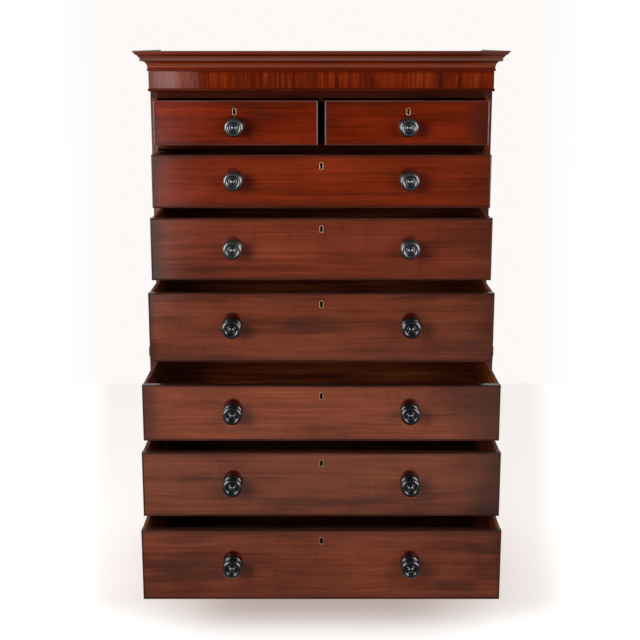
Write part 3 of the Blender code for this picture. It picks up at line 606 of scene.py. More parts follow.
@dataclass(frozen=True)
class CrossVeneer(Wood):
    """Upright veneer in leaves of differing tone, with painted shade at its head and foot, a darker left
    edge and a painted sheen over its left end, measured from its left end, foot and head.
    """

    left: float = 0.0
    foot: float = 0.0
    head: float = 0.0
    leaf: float = 0.090
    strip: float = 0.011
    head_shade: Flat = (-0.0115, -0.0015)
    foot_shade: Flat = (0.039, -0.003)
    end: Flat = (0.0015, 0.0415)
    bloom: Flat = (0.1065, 0.0765)
    bloom_share: float = 0.37
    haze: Flat = (0.1815, 0.1115)
    haze_share: float = 0.22
    fade_rise: Flat = (-0.023, 0.017)
    left_sheen: Colour = (0.310, 0.170, 0.145)

    def stain(self, recipe: Recipe, colour: Value, maps: GrainMaps) -> Value:
        """Leaves of differing tone, painted shade at the head and foot, a darker left edge, and a painted
        sheen over the left end.

        Args:
            recipe: the material's tree.
            colour: the clean colour.
            maps: the grain at each point.

        Returns:
            The colour of the veneered face.
        """
        across, _, up = recipe.axes()
        broad, narrow = (self.leaf_tone(recipe, across, width) for width in (self.leaf, self.strip))
        tone = broad * 0.45 + narrow * 0.55
        inward, above = across - self.left, up - self.foot
        # painted shade at the head and towards the foot
        dim = (tone.rise(0.5, 0.1) * 0.6).most((up - self.head).rise(*self.head_shade) * 0.6)
        dim = dim.most(above.rise(*self.foot_shade) * 0.42)
        dim = dim.most(inward.rise(*reversed(self.end)) * 0.55)
        shaded = recipe.mix(dim, colour, self.dark)
        lit = recipe.mix(tone.rise(0.55, 0.9) * 0.45, shaded, self.light)
        # painted sheen over the left end
        ragged = inward + (maps.cloud - 0.5) * 0.05
        bloom = ragged.rise(*self.bloom) * ragged.rise(*self.end) * self.bloom_share
        left_sheen = bloom + ragged.rise(*self.haze) * self.haze_share
        left_sheen = left_sheen * above.rise(*self.fade_rise)
        return recipe.mix(left_sheen * (0.8 + maps.tone * 0.4), lit, self.left_sheen)

    @staticmethod
    def leaf_tone(recipe: Recipe, across: Value, width: float) -> Value:
        """The tone of each leaf of veneer, from 0 to 1.

        Args:
            recipe: the material's tree.
            across: where the point lies along the run of leaves.
            width: how wide a leaf is.

        Returns:
            The tone.
        """
        settings = {"voronoi_dimensions": "1D"}
        leaves = recipe.node("ShaderNodeTexVoronoi", settings, {"W": across / width, "Scale": 1.0})
        split = recipe.node("ShaderNodeSeparateColor", None, {0: Value(recipe, leaves.outputs["Color"])})
        return Value(recipe, split.outputs[0])


@dataclass(frozen=True)
class Ebonised:
    """Turned wood, stained black and polished."""

    name: str = "ebonised_wood"
    slot: str = "ebonised_wood"
    body: Colour = (0.0022, 0.0027, 0.0036)
    wear_and_highlight: Colour = (0.0075, 0.0068, 0.0068)
    roughness: float = 0.17
    sheen: float = 0.12

    def material(self, name: str) -> bpy.types.Material:
        """Make the material.

        Args:
            name: its name.

        Returns:
            The material.
        """
        material = bpy.data.materials.new(name)
        recipe = Recipe(material)
        x, y, z = recipe.axes()
        cloud = recipe.noise(recipe.vector(x * 60.0, y * 60.0, z * 60.0), 3.0)
        scuffs = recipe.noise(recipe.vector(x * 900.0, y * 220.0, z * 900.0), 2.0, 0.7)
        wear_and_highlight = cloud.rise(0.52, 0.72) * 0.7
        recipe.surface(
            Base_Color=recipe.mix(wear_and_highlight, self.body, self.wear_and_highlight),
            Roughness=self.roughness + (cloud - 0.5) * 0.14 + scuffs.rise(0.62, 0.8) * 0.10,
            Specular_Ior_Level=0.36,
            Coat_Weight=self.sheen,
            Coat_Roughness=0.40,
            Coat_Ior=1.5,
            Normal=recipe.relief(scuffs, 0.00003),
        )
        return material


@dataclass(frozen=True)
class WornBrass:
    """Old brass, rubbed pinkish and dull in its hollows."""

    name: str = "worn_brass"
    slot: str = "worn_brass"
    bright: Colour = (0.52, 0.34, 0.21)
    dull: Colour = (0.18, 0.105, 0.060)
    roughness: float = 0.38

    def material(self, name: str) -> bpy.types.Material:
        """Make the material.

        Args:
            name: its name.

        Returns:
            The material.
        """
        material = bpy.data.materials.new(name)
        recipe = Recipe(material)
        x, y, z = recipe.axes()
        cloud = recipe.noise(recipe.vector(x * 140.0, y * 140.0, z * 140.0), 4.0, 0.62)
        brushed = recipe.noise(recipe.vector(x * 2600.0, y * 500.0, z * 260.0), 2.0)
        tarnish = cloud.rise(0.46, 0.70)
        recipe.surface(
            Base_Color=recipe.mix(tarnish * 0.8, self.bright, self.dull),
            Metallic=1.0 - tarnish * 0.35,
            Roughness=self.roughness + tarnish * 0.25 + (brushed - 0.5) * 0.2,
            Normal=recipe.relief(brushed, 0.00002),
        )
        return material


MAHOGANY = Wood(
    name="mahogany",
    slot="mahogany",
    dark=(0.036, 0.0050, 0.0016),
    middle=(0.122, 0.0135, 0.0024),
    light=(0.190, 0.0300, 0.0060),
    glow=(0.280, 0.0580, 0.0110),
    roughness=0.34,
    polish=1.0,
    polish_roughness=0.14,
    shine=0.04,
)
CORNICE_MAHOGANY = DustyWood(
    name="cornice_mahogany",
    slot="mahogany",
    dark=(0.050, 0.0060, 0.0015),
    middle=(0.152, 0.0118, 0.0015),
    light=(0.216, 0.0235, 0.0033),
    glow=(0.276, 0.0442, 0.0069),
    roughness=0.34,
    polish=0.30,
    polish_roughness=0.13,
    shine=0.02,
    broad=0.45,
    ribboned=0.3,
    fine=0.3,
)
SHADED_MAHOGANY = Wood(
    name="shaded_mahogany",
    slot="mahogany",
    dark=(0.012, 0.0025, 0.0014),
    middle=(0.032, 0.0055, 0.0026),
    light=(0.060, 0.0115, 0.0050),
    glow=(0.085, 0.0180, 0.0070),
    roughness=0.40,
    polish=0.2,
    shine=0.0,
)
FRIEZE_BEAD = replace(
    SHADED_MAHOGANY,
    name="frieze_bead_mahogany",
    dark=(0.030, 0.0045, 0.0016),
    middle=(0.066, 0.0085, 0.0030),
    light=(0.105, 0.0200, 0.0080),
)
TOP_BEAD = Wood(
    name="top_bead_mahogany",
    slot="mahogany",
    dark=(0.045, 0.0095, 0.0050),
    middle=(0.105, 0.0240, 0.0125),
    light=(0.160, 0.0500, 0.0300),
    glow=(0.210, 0.0800, 0.0500),
    roughness=0.34,
    polish=0.4,
    polish_roughness=0.22,
    # painted shade on the bead's faces that look up
    top_face_shade=0.75,
    shade=(0.006, 0.0015, 0.0008),
)
BEAD_MAHOGANY = replace(
    TOP_BEAD,
    name="bead_mahogany",
    dark=(0.026, 0.0058, 0.0032),
    middle=(0.062, 0.0145, 0.0078),
    light=(0.100, 0.0300, 0.0180),
    glow=(0.150, 0.0540, 0.0340),
    # painted shade on the bead's faces that look up
    top_face_shade=0.55,
)
# the short drawers' beads, with a painted highlight on their inner upright lengths
LEFT_HIGHLIGHT_BEAD = HighlightedBead(
    **{**vars(TOP_BEAD), "name": "left_highlight_bead"},
    highlight_from=-0.006,
    highlight_to=0.020,
)
RIGHT_HIGHLIGHT_BEAD = replace(
    LEFT_HIGHLIGHT_BEAD,
    name="right_highlight_bead",
    highlight_from=-0.020,
    highlight_to=0.006,
)
CROSS_VENEER = CrossVeneer(
    name="cross_veneer",
    slot="cross_grain_mahogany",
    dark=(0.052, 0.0055, 0.0012),
    middle=(0.148, 0.0128, 0.0016),
    light=(0.214, 0.0265, 0.0036),
    glow=(0.285, 0.0490, 0.0070),
    roughness=0.34,
    polish=0.9,
    shine=0.0,
    length=5.0,
    streaks=70.0,
    ribbons=150.0,
    lines=330.0,
    broad=1.0,
    ribboned=0.8,
    fine=0.8,
)
LINING_WOOD = Wood(
    name="lining_wood",
    slot="drawer_lining_wood",
    dark=(0.042, 0.0062, 0.0010),
    middle=(0.130, 0.0210, 0.0032),
    light=(0.190, 0.0450, 0.0090),
    glow=(0.250, 0.0900, 0.0240),
    roughness=0.62,
    polish=0.0,
    shine=0.05,
    streaks=34.0,
    broad=1.0,
    ribboned=0.8,
    fine=0.8,
    edge_wear=0.6,
    relief=0.00022,
)
# a painted-shade copy of the lining wood, for the drawers' bottoms and the two lowest drawers' backs, dark
# as they lie in shade
SHADED_LINING_WOOD = replace(
    LINING_WOOD,
    name="bottom_wood",
    dark=(0.012, 0.0026, 0.0010),
    middle=(0.036, 0.0078, 0.0024),
    light=(0.060, 0.0150, 0.0046),
    glow=(0.080, 0.0240, 0.0080),
)
BACKING_WOOD = Wood(
    name="backing_wood",
    slot="backing_wood",
    dark=(0.054, 0.0185, 0.0064),
    middle=(0.138, 0.0545, 0.0200),
    light=(0.222, 0.1010, 0.0420),
    glow=(0.285, 0.1420, 0.0640),
    roughness=0.74,
    polish=0.0,
    shine=0.08,
    streaks=30.0,
    broad=1.0,
    ribboned=0.8,
    fine=0.8,
    relief=0.00030,
)
FRONT_LOOK = {
    "slot": "drawer_front_mahogany",
    "roughness": 0.14,
    "polish": 0.0,
    "shine": 0.36,
    "relief": 0.00002,
    # painted shade on the fronts' top faces
    "top_face_shade": 0.90,
    "length": 1.3,
    "broad": 0.46,
    "ribboned": 0.44,
    "fine": 0.60,
    "cloudy": 1.05,
}
# The red of each tone of a front, and how far the tone's green and blue are lifted.
FRONT_TONES = {"dark": (0.048, 1.0), "middle": (0.128, 1.0), "light": (0.188, 1.08), "glow": (0.300, 1.35)}
BLACK_POLISH = Ebonised()
RUBBED_BLACK = Ebonised(name="rubbed_ebonised_wood", sheen=0.70)
RUBBED_BRASS = WornBrass()
TARNISHED_BRASS = WornBrass(
    name="tarnished_brass",
    bright=(0.50, 0.30, 0.20),
    dull=(0.17, 0.090, 0.055),
)
# nearly black brass: painted shade on the lock case seen through the keyhole
SHADED_LOCK_BRASS = WornBrass(
    name="lock_brass",
    bright=(0.022, 0.012, 0.007),
    dull=(0.010, 0.005, 0.003),
    roughness=0.62,
)


class FinishShop:
    """Makes each finish once for each way of the grain."""

    def __init__(self) -> None:
        """Start with nothing made."""
        self.made: dict[Any, bpy.types.Material] = {}

    def wood(self, finish: Wood, grain: Grain) -> bpy.types.Material:
        """The material of a wood with its grain one way.

        Args:
            finish: the wood.
            grain: the way that the grain runs.

        Returns:
            The material, made on first use.
        """
        key = (finish, grain)
        if key not in self.made:
            self.made[key] = finish.material(f"{finish.name}_{grain.name.lower()}", grain)
        return self.made[key]

    def plain(self, finish: Union[Ebonised, WornBrass]) -> bpy.types.Material:
        """The material of a finish without grain.

        Args:
            finish: the finish.

        Returns:
            The material, made on first use.
        """
        if finish not in self.made:
            self.made[finish] = finish.material(finish.name)
        return self.made[finish]


SHOP = FinishShop()


def dress(
    piece: bpy.types.Object, material: bpy.types.Material, slot: str, body: str, *nodes: str
) -> bpy.types.Object:
    """Give a piece its finish and put it on its body.

    Args:
        piece: the finished mesh, in place.
        material: its material.
        slot: the record's slot that the finish stands for; not used.
        body: the body that it rides on.
        nodes: the solids that it stands for.

    Returns:
        The piece.
    """
    piece.data.materials.clear()
    piece.data.materials.append(material)
    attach(piece, body)
    if nodes:
        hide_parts(*nodes)
    LOG.info("%s: %d faces, %s, on %s", piece.name, len(piece.data.polygons), material.name, body)
    return piece


def dress_wood(
    piece: bpy.types.Object, finish: Wood, grain: Grain, body: str, *nodes: str
) -> bpy.types.Object:
    """Dress a piece in one of the shared woods.

    Args:
        piece: the finished mesh, in place.
        finish: the wood.
        grain: the way that its grain runs.
        body: the body that it rides on.
        nodes: the solids that it stands for.

    Returns:
        The piece.
    """
    return dress(piece, SHOP.wood(finish, grain), finish.slot, body, *nodes)


# Drawing


def arc(centre: Flat, reach: float, rise: float, start: float, end: float, steps: int) -> list[Flat]:
    """Points of an elliptical arc, ends included.

    Args:
        centre: the middle of the ellipse.
        reach: its half width.
        rise: its half height.
        start: the first angle in degrees.
        end: the last angle in degrees.
        steps: how many parts the arc has.

    Returns:
        The points.
    """
    angles = [math.radians(start + (end - start) * step / steps) for step in range(steps + 1)]
    return [(centre[0] + reach * math.cos(angle), centre[1] + rise * math.sin(angle)) for angle in angles]


def sweep(start: Flat, pull: Flat, end: Flat, steps: int) -> list[Flat]:
    """Points of a curve from start to end that leans towards a third point.

    Args:
        start: the first point.
        pull: the point that draws the curve.
        end: the last point.
        steps: how many parts the curve has.

    Returns:
        The points, ends included.
    """
    shares = [step / steps for step in range(steps + 1)]
    return [
        tuple((1 - t) ** 2 * a + 2 * t * (1 - t) * b + t * t * c for a, b, c in zip(start, pull, end))
        for t in shares
    ]


def ogee(start: Flat, end: Flat, steps: int, swing: float = 0.7) -> list[Flat]:
    """Points of an S curve, ends included.

    Args:
        start: the first point.
        end: the last point.
        steps: how many parts the curve has.
        swing: how strongly it bends.

    Returns:
        The points.
    """
    points = []
    for step in range(steps + 1):
        share = step / steps
        eased = share - math.sin(2 * math.pi * share) / (2 * math.pi) * swing
        points.append((start[0] + (end[0] - start[0]) * share, start[1] + (end[1] - start[1]) * eased))
    return points


def eased(outline: Sequence[Flat], radius: float, sharp: float = 28.0) -> list[Flat]:
    """A closed outline with its sharp corners rounded.

    Args:
        outline: the corners in order.
        radius: how far from a corner the rounding starts.
        sharp: the turn in degrees from which a corner is rounded.

    Returns:
        The rounded outline.
    """
    result: list[Flat] = []
    count = len(outline)
    for index, corner in enumerate(outline):
        here = Vector(corner)
        before = Vector(outline[index - 1]) - here
        after = Vector(outline[(index + 1) % count]) - here
        turn = 180.0 - math.degrees(before.angle(after, math.pi))
        if turn < sharp:
            result.append(corner)
            continue
        back = here + before.normalized() * min(radius, before.length * 0.4)
        on = here + after.normalized() * min(radius, after.length * 0.4)
        result += sweep(tuple(back), corner, tuple(on), 3)
    return result


class Bench:
    """The hand work that shapes every piece."""

    @staticmethod
    def clear() -> None:
        """Leave edit mode with nothing selected."""
        if bpy.context.mode != "OBJECT":
            bpy.ops.object.mode_set(mode="OBJECT")
        bpy.ops.object.select_all(action="DESELECT")

    @classmethod
    def pick(cls, piece: bpy.types.Object) -> None:
        """Make one piece the only selected and active one.

        Args:
            piece: the piece.
        """
        cls.clear()
        piece.select_set(True)
        bpy.context.view_layer.objects.active = piece

    @classmethod
    def _name(cls, name: str) -> bpy.types.Object:
        """Name the active piece and its mesh.

        Args:
            name: their name.

        Returns:
            The piece.
        """
        piece = bpy.context.active_object
        piece.name = name
        piece.data.name = name
        return piece

    @classmethod
    def apply(cls, piece: bpy.types.Object, kind: str, **settings: Any) -> None:
        """Run one modifier on a piece and apply it.

        Args:
            piece: the piece.
            kind: the modifier's type.
            settings: its properties.
        """
        cls.pick(piece)
        modifier = piece.modifiers.new(kind.lower(), kind)
        for name, setting in settings.items():
            setattr(modifier, name, setting)
        bpy.ops.object.modifier_apply(modifier=modifier.name)

    @classmethod
    def smooth(cls, piece: bpy.types.Object, angle: float = 38.0) -> bpy.types.Object:
        """Shade curves smooth and keep flats flat.

        Args:
            piece: the piece.
            angle: the turn in degrees that stays sharp.

        Returns:
            The piece.
        """
        cls.pick(piece)
        bpy.ops.object.shade_smooth_by_angle(angle=math.radians(angle))
        cls.apply(piece, "WEIGHTED_NORMAL", weight=100, keep_sharp=True)
        return piece

    @classmethod
    def ease(cls, piece: bpy.types.Object, arris: float = ARRIS, segments: int = 2) -> bpy.types.Object:
        """Take the sharpness off every arris of a piece.

        Args:
            piece: the piece.
            arris: how wide the eased edge is.
            segments: how many facets it has.

        Returns:
            The piece.
        """
        angle = math.radians(40.0)
        cls.apply(piece, "BEVEL", width=arris, segments=segments, limit_method="ANGLE", angle_limit=angle)
        return cls.smooth(piece)

    @classmethod
    def block(
        cls, name: str, low: Sequence[float], high: Sequence[float], arris: float = ARRIS
    ) -> bpy.types.Object:
        """A planed board between two corners, with eased edges.

        Args:
            name: the piece's name.
            low: its lowest corner.
            high: its highest corner.
            arris: how far its edges are eased, 0 for none.

        Returns:
            The board.
        """
        cls.clear()
        low, high = Vector(low), Vector(high)
        bpy.ops.mesh.primitive_cube_add(size=1.0, location=(low + high) / 2)
        piece = cls._name(name)
        bpy.ops.transform.resize(value=high - low)
        bpy.ops.object.transform_apply(location=True, rotation=True, scale=True)
        return cls.ease(piece, arris) if arris else piece

    @classmethod
    def loft(cls, name: str, *sections: Sequence[Vector]) -> bpy.types.Object:
        """A closed body drawn out from one outline to the next.

        Args:
            name: the piece's name.
            sections: outlines with the same number of points, in order.

        Returns:
            The body.
        """
        cls.clear()
        bpy.ops.mesh.primitive_circle_add(vertices=len(sections[0]), fill_type="NGON")
        piece = cls._name(name)
        for vertex, point in zip(piece.data.vertices, sections[0]):
            vertex.co = point
        bpy.ops.object.mode_set(mode="EDIT")
        bpy.ops.mesh.select_all(action="SELECT")
        for last, following in zip(sections, sections[1:]):
            bpy.ops.mesh.extrude_region_move(TRANSFORM_OT_translate={"value": (0.0, 0.0, 0.0)})
            shape = bmesh.from_edit_mesh(piece.data)
            for vertex in (item for item in shape.verts if item.select):
                nearest = min(range(len(last)), key=lambda index: (vertex.co - last[index]).length_squared)
                vertex.co = following[nearest]
            bmesh.update_edit_mesh(piece.data)
        bpy.ops.mesh.select_all(action="SELECT")
        bpy.ops.mesh.normals_make_consistent(inside=False)
        bpy.ops.object.mode_set(mode="OBJECT")
        return piece

    @classmethod
    def turn(cls, name: str, profile: Sequence[Flat], steps: int) -> bpy.types.Object:
        """A turned piece about the Y axis, its profile given as (radius, reach towards the front).

        Args:
            name: the piece's name.
            profile: the section from its tip to the middle of its back.
            steps: how many facets there are round it.

        Returns:
            The turned piece.
        """
        cls.clear()
        bpy.ops.mesh.primitive_circle_add(vertices=len(profile), fill_type="NOTHING")
        piece = cls._name(name)
        for vertex, (radius, reach) in zip(piece.data.vertices, profile):
            vertex.co = (radius, -reach, 0.0)
        bpy.ops.object.mode_set(mode="EDIT")
        shape = bmesh.from_edit_mesh(piece.data)
        ends = {0, len(profile) - 1}
        for edge in shape.edges:
            edge.select_set({vertex.index for vertex in edge.verts} == ends)
        bpy.ops.mesh.delete(type="EDGE")
        bpy.ops.mesh.select_all(action="SELECT")
        lathe = {"center": (0, 0, 0), "axis": (0, 1, 0), "angle": 2 * math.pi}
        bpy.ops.mesh.spin(steps=steps, use_auto_merge=True, **lathe)
        bpy.ops.mesh.select_all(action="SELECT")
        bpy.ops.mesh.remove_doubles(threshold=0.00002)
        bpy.ops.mesh.normals_make_consistent(inside=False)
        bpy.ops.object.mode_set(mode="OBJECT")
        return cls.smooth(piece, 50.0)

    @classmethod
    def join(cls, name: str, pieces: Sequence[bpy.types.Object]) -> bpy.types.Object:
        """Several bodies as one piece.

        Args:
            name: the joined piece's name.
            pieces: the bodies.

        Returns:
            The joined piece.
        """
        cls.clear()
        for piece in pieces:
            piece.select_set(True)
        bpy.context.view_layer.objects.active = pieces[0]
        bpy.ops.object.join()
        return cls._name(name)

    @classmethod
    def cut(cls, piece: bpy.types.Object, *tools: bpy.types.Object) -> bpy.types.Object:
        """Saw, chop or drill shapes out of a piece.

        Args:
            piece: the piece.
            tools: what is cut out of it, used up by the cut.

        Returns:
            The piece.
        """
        for tool in tools:
            cls.apply(piece, "BOOLEAN", operation="DIFFERENCE", solver="EXACT", object=tool)
            bpy.data.objects.remove(tool)
        return piece

    @staticmethod
    def copy(piece: bpy.types.Object, name: str, shift: Vector) -> bpy.types.Object:
        """A copy with its own mesh, moved in its mesh.

        Args:
            piece: what is copied.
            name: the copy's name.
            shift: how far the copy is moved.

        Returns:
            The copy.
        """
        mesh = piece.data.copy()
        mesh.transform(Matrix.Translation(shift))
        mesh.name = name
        copied = bpy.data.objects.new(name, mesh)
        bpy.context.scene.collection.objects.link(copied)
        return copied


def plate(name: str, outline: Sequence[Flat], grain: Grain, start: float, end: float) -> bpy.types.Object:
    """A flat outline made thick along one axis.

    Args:
        name: the piece's name.
        outline: its corners: (y, z) for ACROSS, (x, z) for DEEP and (x, y) for UPRIGHT.
        grain: the axis that it is thick along.
        start: where it starts along that axis.
        end: where it ends.

    Returns:
        The plate.
    """

    def lay(level: float) -> list[Vector]:
        """The outline at one place along the axis.

        Args:
            level: the place.

        Returns:
            Its points.
        """
        if grain is Grain.ACROSS:
            return [Vector((level, first, second)) for first, second in outline]
        if grain is Grain.DEEP:
            return [Vector((first, level, second)) for first, second in outline]
        return [Vector((first, second, level)) for first, second in outline]

    return Bench.loft(name, lay(start), lay(end))


@dataclass
class MitredRun:
    """A moulding across the front of a carcase and back along both sides, in three mitred lengths."""

    name: str
    section: Sequence[Flat]
    half: float
    front: float
    back: float
    pieces: list[tuple[bpy.types.Object, Grain]] = field(default_factory=list)

    def build(self) -> "MitredRun":
        """Shape the three lengths from the section, whose points are (reach past the carcase, height).

        Returns:
            The run.
        """
        half, front = self.half, self.front
        first = [Vector((-half - reach + JOINT_GAP, front - reach, up)) for reach, up in self.section]
        last = [Vector((half + reach - JOINT_GAP, front - reach, up)) for reach, up in self.section]
        run = Bench.smooth(Bench.loft(f"{self.name}_front", first, last))
        self.pieces = [(run, Grain.ACROSS)]
        for hand in Hand:
            side = hand.value
            first = [
                Vector((side * (half + reach), front - reach + JOINT_GAP, up)) for reach, up in self.section
            ]
            last = [Vector((side * (half + reach), self.back, up)) for reach, up in self.section]
            run = Bench.smooth(Bench.loft(f"{self.name}_{hand.name.lower()}", first, last))
            self.pieces.append((run, Grain.DEEP))
        return self

    def dress(self, finish: Wood, *nodes: str, grain: Optional[Grain] = None) -> None:
        """Finish the three lengths.

        Args:
            finish: their wood.
            nodes: the solids that they stand for.
            grain: the way of the grain, along each length if not given.
        """
        for piece, along in self.pieces:
            dress_wood(piece, finish, grain or along, CARCASE, *nodes)


# Carcases


def carcase_sides(chest: str) -> list[bpy.types.Object]:
    """The left and right sides of the upper or lower chest."""
    places = [f"{chest}_{hand.name.lower()}" for hand in Hand]
    return [Bench.block(f"{place}_panel", *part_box(f"{place}_side")) for place in places]


@dataclass
class CorniceUnit:
    """The frieze with its bead, and the cornice over it with its dust board and back rail."""

    footing: float = 0.034
    proud: float = 0.0035
    bead_rise: float = 0.003
    bead_height: float = 0.009
    frieze_thickness: float = 0.0235
    astragal: float = 0.0042
    fillet: float = 0.0026
    hollow_base: float = 0.006
    hollow_reach: float = 0.0175
    hollow_height: float = 0.0195
    corona_height: float = 0.010
    crown_height: float = 0.0165
    crown_reach: float = 0.015
    lip: float = 0.004
    crest: float = 0.010
    sink: float = 0.005
    dust_drop: float = 0.006
    dust_thickness: float = 0.008
    rail_thickness: float = 0.018
    arris: float = 0.0007
    frieze_arris: float = 0.0005
    frieze: Optional[MitredRun] = None
    bead: Optional[MitredRun] = None
    crown: Optional[MitredRun] = None
    boards: list[bpy.types.Object] = field(default_factory=list)

    def crown_section(self, base: float, projection: float) -> list[Flat]:
        """The cornice's section: astragal, hollow, corona, ogee and lip.

        Args:
            base: the level of its underside.
            projection: how far its lip stands out past the carcase.

        Returns:
            The section.
        """
        astragal = arc((self.proud, base + self.astragal), self.astragal, self.astragal, -90, 90, 14)
        foot = base + 2 * self.astragal + self.fillet
        hollow_middle = (self.hollow_base + self.hollow_reach, foot)
        hollow = arc(hollow_middle, self.hollow_reach, self.hollow_height, 180, 90, 16)
        corona = foot + self.hollow_height
        face = projection - self.crown_reach - self.lip
        shelf = corona + self.corona_height
        lip_base = shelf + self.crown_height
        crown = ogee((face + self.lip / 2, shelf), (projection - self.lip / 2, lip_base), 18, -0.55)
        outline = [(-self.footing, base), *astragal, (self.hollow_base, foot - self.fillet), *hollow]
        outline += [(face, corona), (face, shelf), *crown]
        top = lip_base + self.lip
        outline += [(projection, lip_base), (projection, top), (projection - self.crest, top)]
        outline += [(projection - self.crest - self.sink, top - self.sink), (-self.footing, top - self.sink)]
        return eased(outline, self.arris)

    def build(self) -> "CorniceUnit":
        """Shape the frieze, bead and cornice.

        Returns:
            The unit.
        """
        side_low, side_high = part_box("upper_right_side")
        half, front = side_high.x, side_low.y
        low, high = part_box("frieze")
        inner = self.proud - self.frieze_thickness
        split = low.z + self.bead_height
        board = [(inner, split), (self.proud, split), (self.proud, high.z), (inner, high.z)]
        self.frieze = MitredRun("frieze_board", eased(board, self.frieze_arris), half, front, high.y).build()
        bead_middle = (self.proud, low.z + self.bead_height / 2)
        round_edge = arc(bead_middle, self.bead_rise, self.bead_height / 2, -90, 90, 14)
        bead = [(inner, low.z), *round_edge, (inner, split - JOINT_GAP)]
        self.bead = MitredRun("frieze_bead", bead, half, front, high.y).build()

        low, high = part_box("cornice")
        section = self.crown_section(low.z, high.x - half)
        self.crown = MitredRun("cornice_moulding", section, half, front, high.y).build()
        top = high.z - self.dust_drop
        reach = half - self.footing
        dust_low = (-reach, front + self.footing, top - self.dust_thickness)
        dust = Bench.block("cornice_dust_board", dust_low, (reach, high.y - self.rail_thickness, top))
        rail_low = (-reach, high.y - self.rail_thickness, low.z + JOINT_GAP)
        self.boards = [dust, Bench.block("cornice_back_rail", rail_low, (reach, high.y, top))]
        return self

    def dress(self) -> None:
        """Veneer the frieze and polish the mouldings."""
        low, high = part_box("frieze")
        veneer = replace(CROSS_VENEER, left=low.x, foot=low.z, head=high.z)
        self.frieze.dress(veneer, "frieze", grain=Grain.UPRIGHT)
        self.bead.dress(FRIEZE_BEAD)
        self.crown.dress(replace(CORNICE_MAHOGANY, foot=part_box("cornice")[0].z), "cornice")
        for board in self.boards:
            dress_wood(board, BACKING_WOOD, Grain.ACROSS, CARCASE)


@dataclass
class Dustboard:
    """A board between two bays: polished front rail, runners, thin panel and drawer stops."""

    node: str
    rail_depth: float = 0.075
    runner_width: float = 0.060
    panel_thickness: float = 0.0085
    housing: float = 0.006
    stop_height: float = 0.005
    stop_width: float = 0.040
    stop_depth: float = 0.012
    front_thickness: float = 0.0223
    stop_spread: float = 0.27
    middles: tuple[float, ...] = (0.0,)
    width: float = 1.0
    rail: Optional[bpy.types.Object] = None
    panel: Optional[bpy.types.Object] = None
    runners: Optional[bpy.types.Object] = None

    def build(self) -> "Dustboard":
        """Plane the rail, the runners with the stops, and the panel.

        Returns:
            The dustboard.
        """
        low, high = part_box(self.node)
        low.x += self.housing + JOINT_GAP
        high.x -= self.housing + JOINT_GAP
        floor = high.z - self.stop_height
        rear = low.y + self.rail_depth
        self.rail = Bench.block(f"{self.node}_rail", low, (high.x, rear, floor))
        bodies = []
        for left in (low.x, high.x - self.runner_width):
            runner_low = (left, rear + JOINT_GAP, low.z)
            runner_high = (left + self.runner_width, high.y, floor)
            bodies.append(Bench.block(f"{self.node}_runner", runner_low, runner_high))
        near = low.y + self.front_thickness
        for middle in self.middles:
            for hand in Hand:
                across = middle + hand.value * self.stop_spread * self.width
                stop_low = (across - self.stop_width / 2, near, floor + JOINT_GAP)
                stop_high = (across + self.stop_width / 2, near + self.stop_depth, high.z)
                bodies.append(Bench.block(f"{self.node}_stop", stop_low, stop_high))
        self.runners = Bench.join(f"{self.node}_runners", bodies)
        middle = (low.z + floor) / 2
        half = self.panel_thickness / 2
        panel_low = (low.x + self.runner_width + JOINT_GAP, rear + JOINT_GAP, middle - half)
        panel_high = (high.x - self.runner_width - JOINT_GAP, high.y, middle + half)
        self.panel = Bench.block(f"{self.node}_panel", panel_low, panel_high)
        return self

    def dress(self) -> None:
        """Polish the rail and leave the rest bare."""
        dress_wood(self.rail, SHADED_MAHOGANY, Grain.ACROSS, CARCASE, self.node)
        dress_wood(self.runners, BACKING_WOOD, Grain.DEEP, CARCASE)
        dress_wood(self.panel, BACKING_WOOD, Grain.ACROSS, CARCASE)


@dataclass
class BackBoards:
    """The back of a carcase, in upright boards side by side."""

    node: str
    count: int = 5
    board_gap: float = 0.0008
    arris: float = 0.0014
    piece: Optional[bpy.types.Object] = None

    def build(self) -> "BackBoards":
        """Plane the boards and lay them side by side.

        Returns:
            The back.
        """
        low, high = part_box(self.node)
        width = (high.x - low.x) / self.count
        boards = []
        for index in range(self.count):
            left = low.x + index * width + self.board_gap / 2
            right = low.x + (index + 1) * width - self.board_gap / 2
            ends = (left, low.y, low.z), (right, high.y, high.z)
            boards.append(Bench.block(self.node, *ends, self.arris))
        self.piece = Bench.join(f"{self.node}_boards", boards)
        return self

    def dress(self) -> None:
        """Leave the boards bare."""
        dress_wood(self.piece, BACKING_WOOD, Grain.UPRIGHT, CARCASE, self.node)


